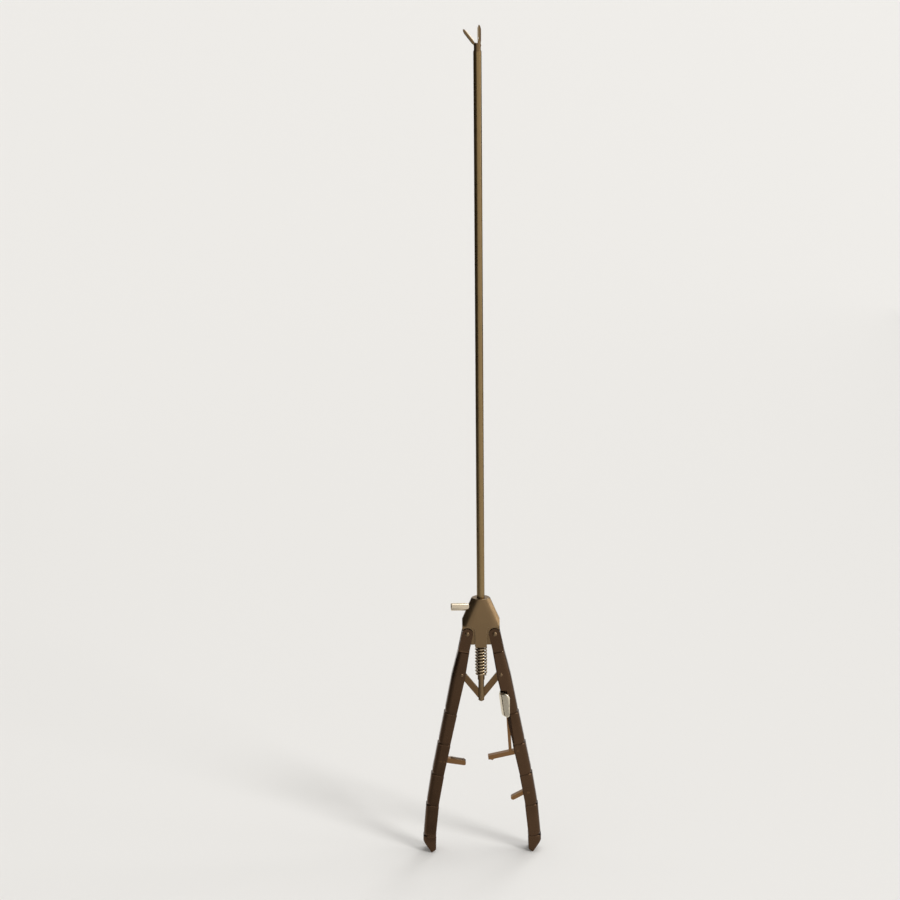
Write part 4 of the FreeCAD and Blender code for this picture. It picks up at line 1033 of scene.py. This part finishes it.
@dataclass
class Jaws(SubAssembly):
    """Both jaws with their cross-cut gripping plates."""

    label: str = "jaws"
    pitch: float = 0.5 * MM
    tooth_margin: float = 0.07 * MM
    tooth_height: float = 0.14 * MM
    tooth_crisp_angle: float = 20.0
    open_angle: float = 38.0

    def build(self) -> None:
        """Builds the jaws, their plates and their pins."""
        self.machined("fixed_jaw", "frame", HEAD_STEEL, rounding=0.08 * MM)
        self.machined("moving_jaw", "moving_jaw", HEAD_STEEL, rounding=0.08 * MM)
        self.machined("jaw_pivot_pin", "frame", PIN_STEEL, rounding=0.05 * MM)
        self.machined("jaw_drive_pin", "drive_rod", PIN_STEEL, rounding=0.04 * MM)
        low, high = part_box("fixed_jaw_insert")
        fixed = self._plate("fixed_jaw_insert_finished", low, high, -1)
        self.stands_for(fixed, "fixed_jaw_insert", "frame", INSERT_STEEL)
        mirror_low = Vector((-high.x, low.y, low.z))
        mirror_high = Vector((-low.x, high.y, high.z))
        moving = self._plate("moving_jaw_insert_finished", mirror_low, mirror_high, 1)
        self._open(moving)
        self.stands_for(moving, "moving_jaw_insert", "moving_jaw", INSERT_STEEL)

    def _plate(self, name: str, low: Vector, high: Vector, faces: int) -> bpy.types.Object:
        """Cuts a plate's gripping face into small raised squares.

        Args:
            name: The plate's name.
            low: Its lowest corner.
            high: Its highest corner.
            faces: 1 where it grips towards +X, -1 towards -X.

        Returns:
            The plate.
        """
        straight = 0.9
        if faces > 0:
            high = high - Vector((self.tooth_height, 0, 0))
        else:
            low = low + Vector((self.tooth_height, 0, 0))
        bpy.ops.object.select_all(action="DESELECT")
        bpy.ops.mesh.primitive_cube_add(size=1.0, location=(low + high) / 2)
        plate = bpy.context.object
        plate.name = name
        plate.scale = high - low
        bpy.ops.object.transform_apply(location=True, rotation=True, scale=True)
        in_edit_mode(plate)
        for axis, start, end in ((Axis.Z, low.z, high.z), (Axis.Y, low.y, high.y)):
            count = round((end - start) / self.pitch)
            for index in range(1, count):
                bpy.ops.mesh.select_all(action="SELECT")
                place = axis.direction() * (start + (end - start) * index / count)
                bpy.ops.mesh.bisect(plane_co=place, plane_no=axis.direction())
        pick(plate, Element.FACE, lambda place, normal: normal.x * faces > straight)
        bpy.ops.mesh.inset(
            thickness=self.tooth_margin, depth=self.tooth_height, use_individual=True)
        leave_edit_mode()
        smooth_sides(plate, self.tooth_crisp_angle)
        return plate

    def _open(self, plate: bpy.types.Object) -> None:
        """Turns a plate with the moving jaw to its open rest place.

        Args:
            plate: The plate, drawn for the closed jaw.
        """
        low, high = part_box("jaw_pivot_pin")
        place = Matrix.Translation((low + high) / 2)
        swing = Matrix.Rotation(math.radians(-self.open_angle), 4, "Y")
        plate.matrix_world = place @ swing @ place.inverted()
        only(plate)
        bpy.ops.object.transform_apply(location=True, rotation=True, scale=True)


# Studio

@dataclass(frozen=True)
class Flag:
    """A square sheet that only the metal mirrors, turned about Y by degrees."""

    name: str
    place: Point
    size: float
    turn: float
    tone: float


@dataclass(frozen=True)
class Lamp:
    """A far lamp: where it shines from, how wide it looks in degrees and its W/m2."""

    name: str
    side: Point
    spread: float
    power: float


@dataclass(frozen=True)
class Studio:
    """Pale floor, soft lamps, flags and the camera of the photograph."""

    aim: Point = (-0.0187, 0.0, 0.2719)
    stand: Point = (-0.0187, -1.395, 0.6456)
    lens: float = 92.0
    sensor: float = 36.0
    roll: float = 0.55
    nearest: float = 0.01
    farthest: float = 100.0
    floor_half: float = 12.0
    floor_colour: Colour = (0.76, 0.75, 0.73)
    floor_roughness: float = 0.7
    flags: tuple[Flag, ...] = (
        Flag("left_flag", (-0.55, -0.1, 0.4), size=2.4, turn=90.0, tone=0.01),
        Flag("right_flag", (0.6, 0.95, 0.4), size=1.6, turn=90.0, tone=0.01),
        Flag("low_flag", (-0.325, -0.32, 0.002), size=0.6, turn=0.0, tone=0.4))
    lamps: tuple[Lamp, ...] = (
        Lamp("key_lamp", (0.9, -0.8, 1.0), spread=16.0, power=1.2),
        Lamp("side_lamp", (1.0, 0.05, 0.2), spread=40.0, power=1.0),
        Lamp("top_lamp", (0.2, 0.2, 1.0), spread=30.0, power=0.7),
        Lamp("back_lamp", (0.5, 1.1, 0.9), spread=20.0, power=0.35))
    sky_colour: Colour = (1.0, 0.98, 0.95)
    sky_strength: float = 0.5
    backdrop: float = 1.07

    def build(self) -> None:
        """Sets up the floor, the flags, the sky, the lamps and the camera."""
        self._floor()
        for flag in self.flags:
            self._stand_flag(flag)
        self._sky()
        for lamp in self.lamps:
            self._hang_lamp(lamp)
        self._camera()

    def _floor(self) -> None:
        """Lays the plain pale floor under the feet."""
        bpy.ops.mesh.primitive_plane_add(size=2 * self.floor_half, location=(0, 0, CAD_BOX[0].z))
        floor = bpy.context.object
        floor.name = "studio_floor"
        made = plain_material("pale_floor")
        shader_of(made)["Roughness"].default_value = self.floor_roughness
        shader_of(made)["Base Color"].default_value = (*self.floor_colour, 1.0)
        floor.data.materials.append(made)

    @staticmethod
    def _stand_flag(flag: Flag) -> None:
        """Stands a flag by the part, which only the metal's reflections show.

        Args:
            flag: The flag.
        """
        bpy.ops.mesh.primitive_plane_add(
            size=flag.size, location=flag.place, rotation=(0.0, math.radians(flag.turn), 0.0))
        sheet = bpy.context.object
        sheet.name = flag.name
        made = plain_material(flag.name)
        shader_of(made)["Base Color"].default_value = (flag.tone, flag.tone, flag.tone, 1.0)
        sheet.data.materials.append(made)
        sheet.visible_camera = False
        sheet.visible_diffuse = False
        sheet.visible_shadow = False

    def _sky(self) -> None:
        """Lights everything softly and shows a backdrop as pale as the floor."""
        world = bpy.data.worlds.new("studio_sky")
        bpy.context.scene.world = world
        world.use_nodes = True
        tree = world.node_tree
        soft = tree.nodes["Background"]
        soft.inputs["Color"].default_value = (*self.sky_colour, 1.0)
        soft.inputs["Strength"].default_value = self.sky_strength
        seen = tree.nodes.new("ShaderNodeBackground")
        seen.inputs["Color"].default_value = (*self.floor_colour, 1.0)
        seen.inputs["Strength"].default_value = self.backdrop
        rays = tree.nodes.new("ShaderNodeLightPath").outputs
        shown = rays["Is Camera Ray"]
        for ray in ("Is Glossy Ray", "Is Transmission Ray"):
            either = tree.nodes.new("ShaderNodeMath")
            either.operation = "MAXIMUM"
            tree.links.new(shown, either.inputs[0])
            tree.links.new(rays[ray], either.inputs[1])
            shown = either.outputs[0]
        choice = tree.nodes.new("ShaderNodeMixShader")
        tree.links.new(shown, choice.inputs[0])
        tree.links.new(soft.outputs[0], choice.inputs[1])
        tree.links.new(seen.outputs[0], choice.inputs[2])
        tree.links.new(choice.outputs[0], tree.nodes["World Output"].inputs["Surface"])

    @staticmethod
    def _hang_lamp(lamp: Lamp) -> None:
        """Adds a broad far lamp, which lights the floor evenly.

        Args:
            lamp: The lamp.
        """
        bpy.ops.object.light_add(type="SUN", location=lamp.side)
        sun = bpy.context.object
        sun.name = lamp.name
        sun.data.angle = math.radians(lamp.spread)
        sun.data.energy = lamp.power
        sun.rotation_euler = (-Vector(lamp.side)).to_track_quat("-Z", "Y").to_euler()

    def _camera(self) -> None:
        """Stands the camera where the photograph was taken from."""
        bpy.ops.object.camera_add(location=self.stand)
        camera = bpy.context.object
        towards = Vector(self.aim) - Vector(self.stand)
        level = towards.to_track_quat("-Z", "Y").to_matrix().to_4x4()
        camera.matrix_world = Matrix.Translation(self.stand) @ level @ Matrix.Rotation(
            math.radians(-self.roll), 4, "Z")
        camera.data.lens = self.lens
        camera.data.sensor_width = self.sensor
        camera.data.clip_start = self.nearest
        camera.data.clip_end = self.farthest
        bpy.context.scene.camera = camera


def main() -> None:
    """Builds the sub-assemblies in order, then the studio."""
    logging.basicConfig(level=logging.INFO, format="%(name)s %(message)s")
    bpy.context.scene.view_settings.view_transform = "Standard"
    bpy.ops.object.select_all(action="DESELECT")
    KIT.build()
    for assembly in (Shaft(), Head(), Linkage(), Handles(), Ratchet(), Jaws()):
        assembly.build()
        LOG.info("%s is built", assembly.label)
    Studio().build()


if __name__ == "__main__":
    main()
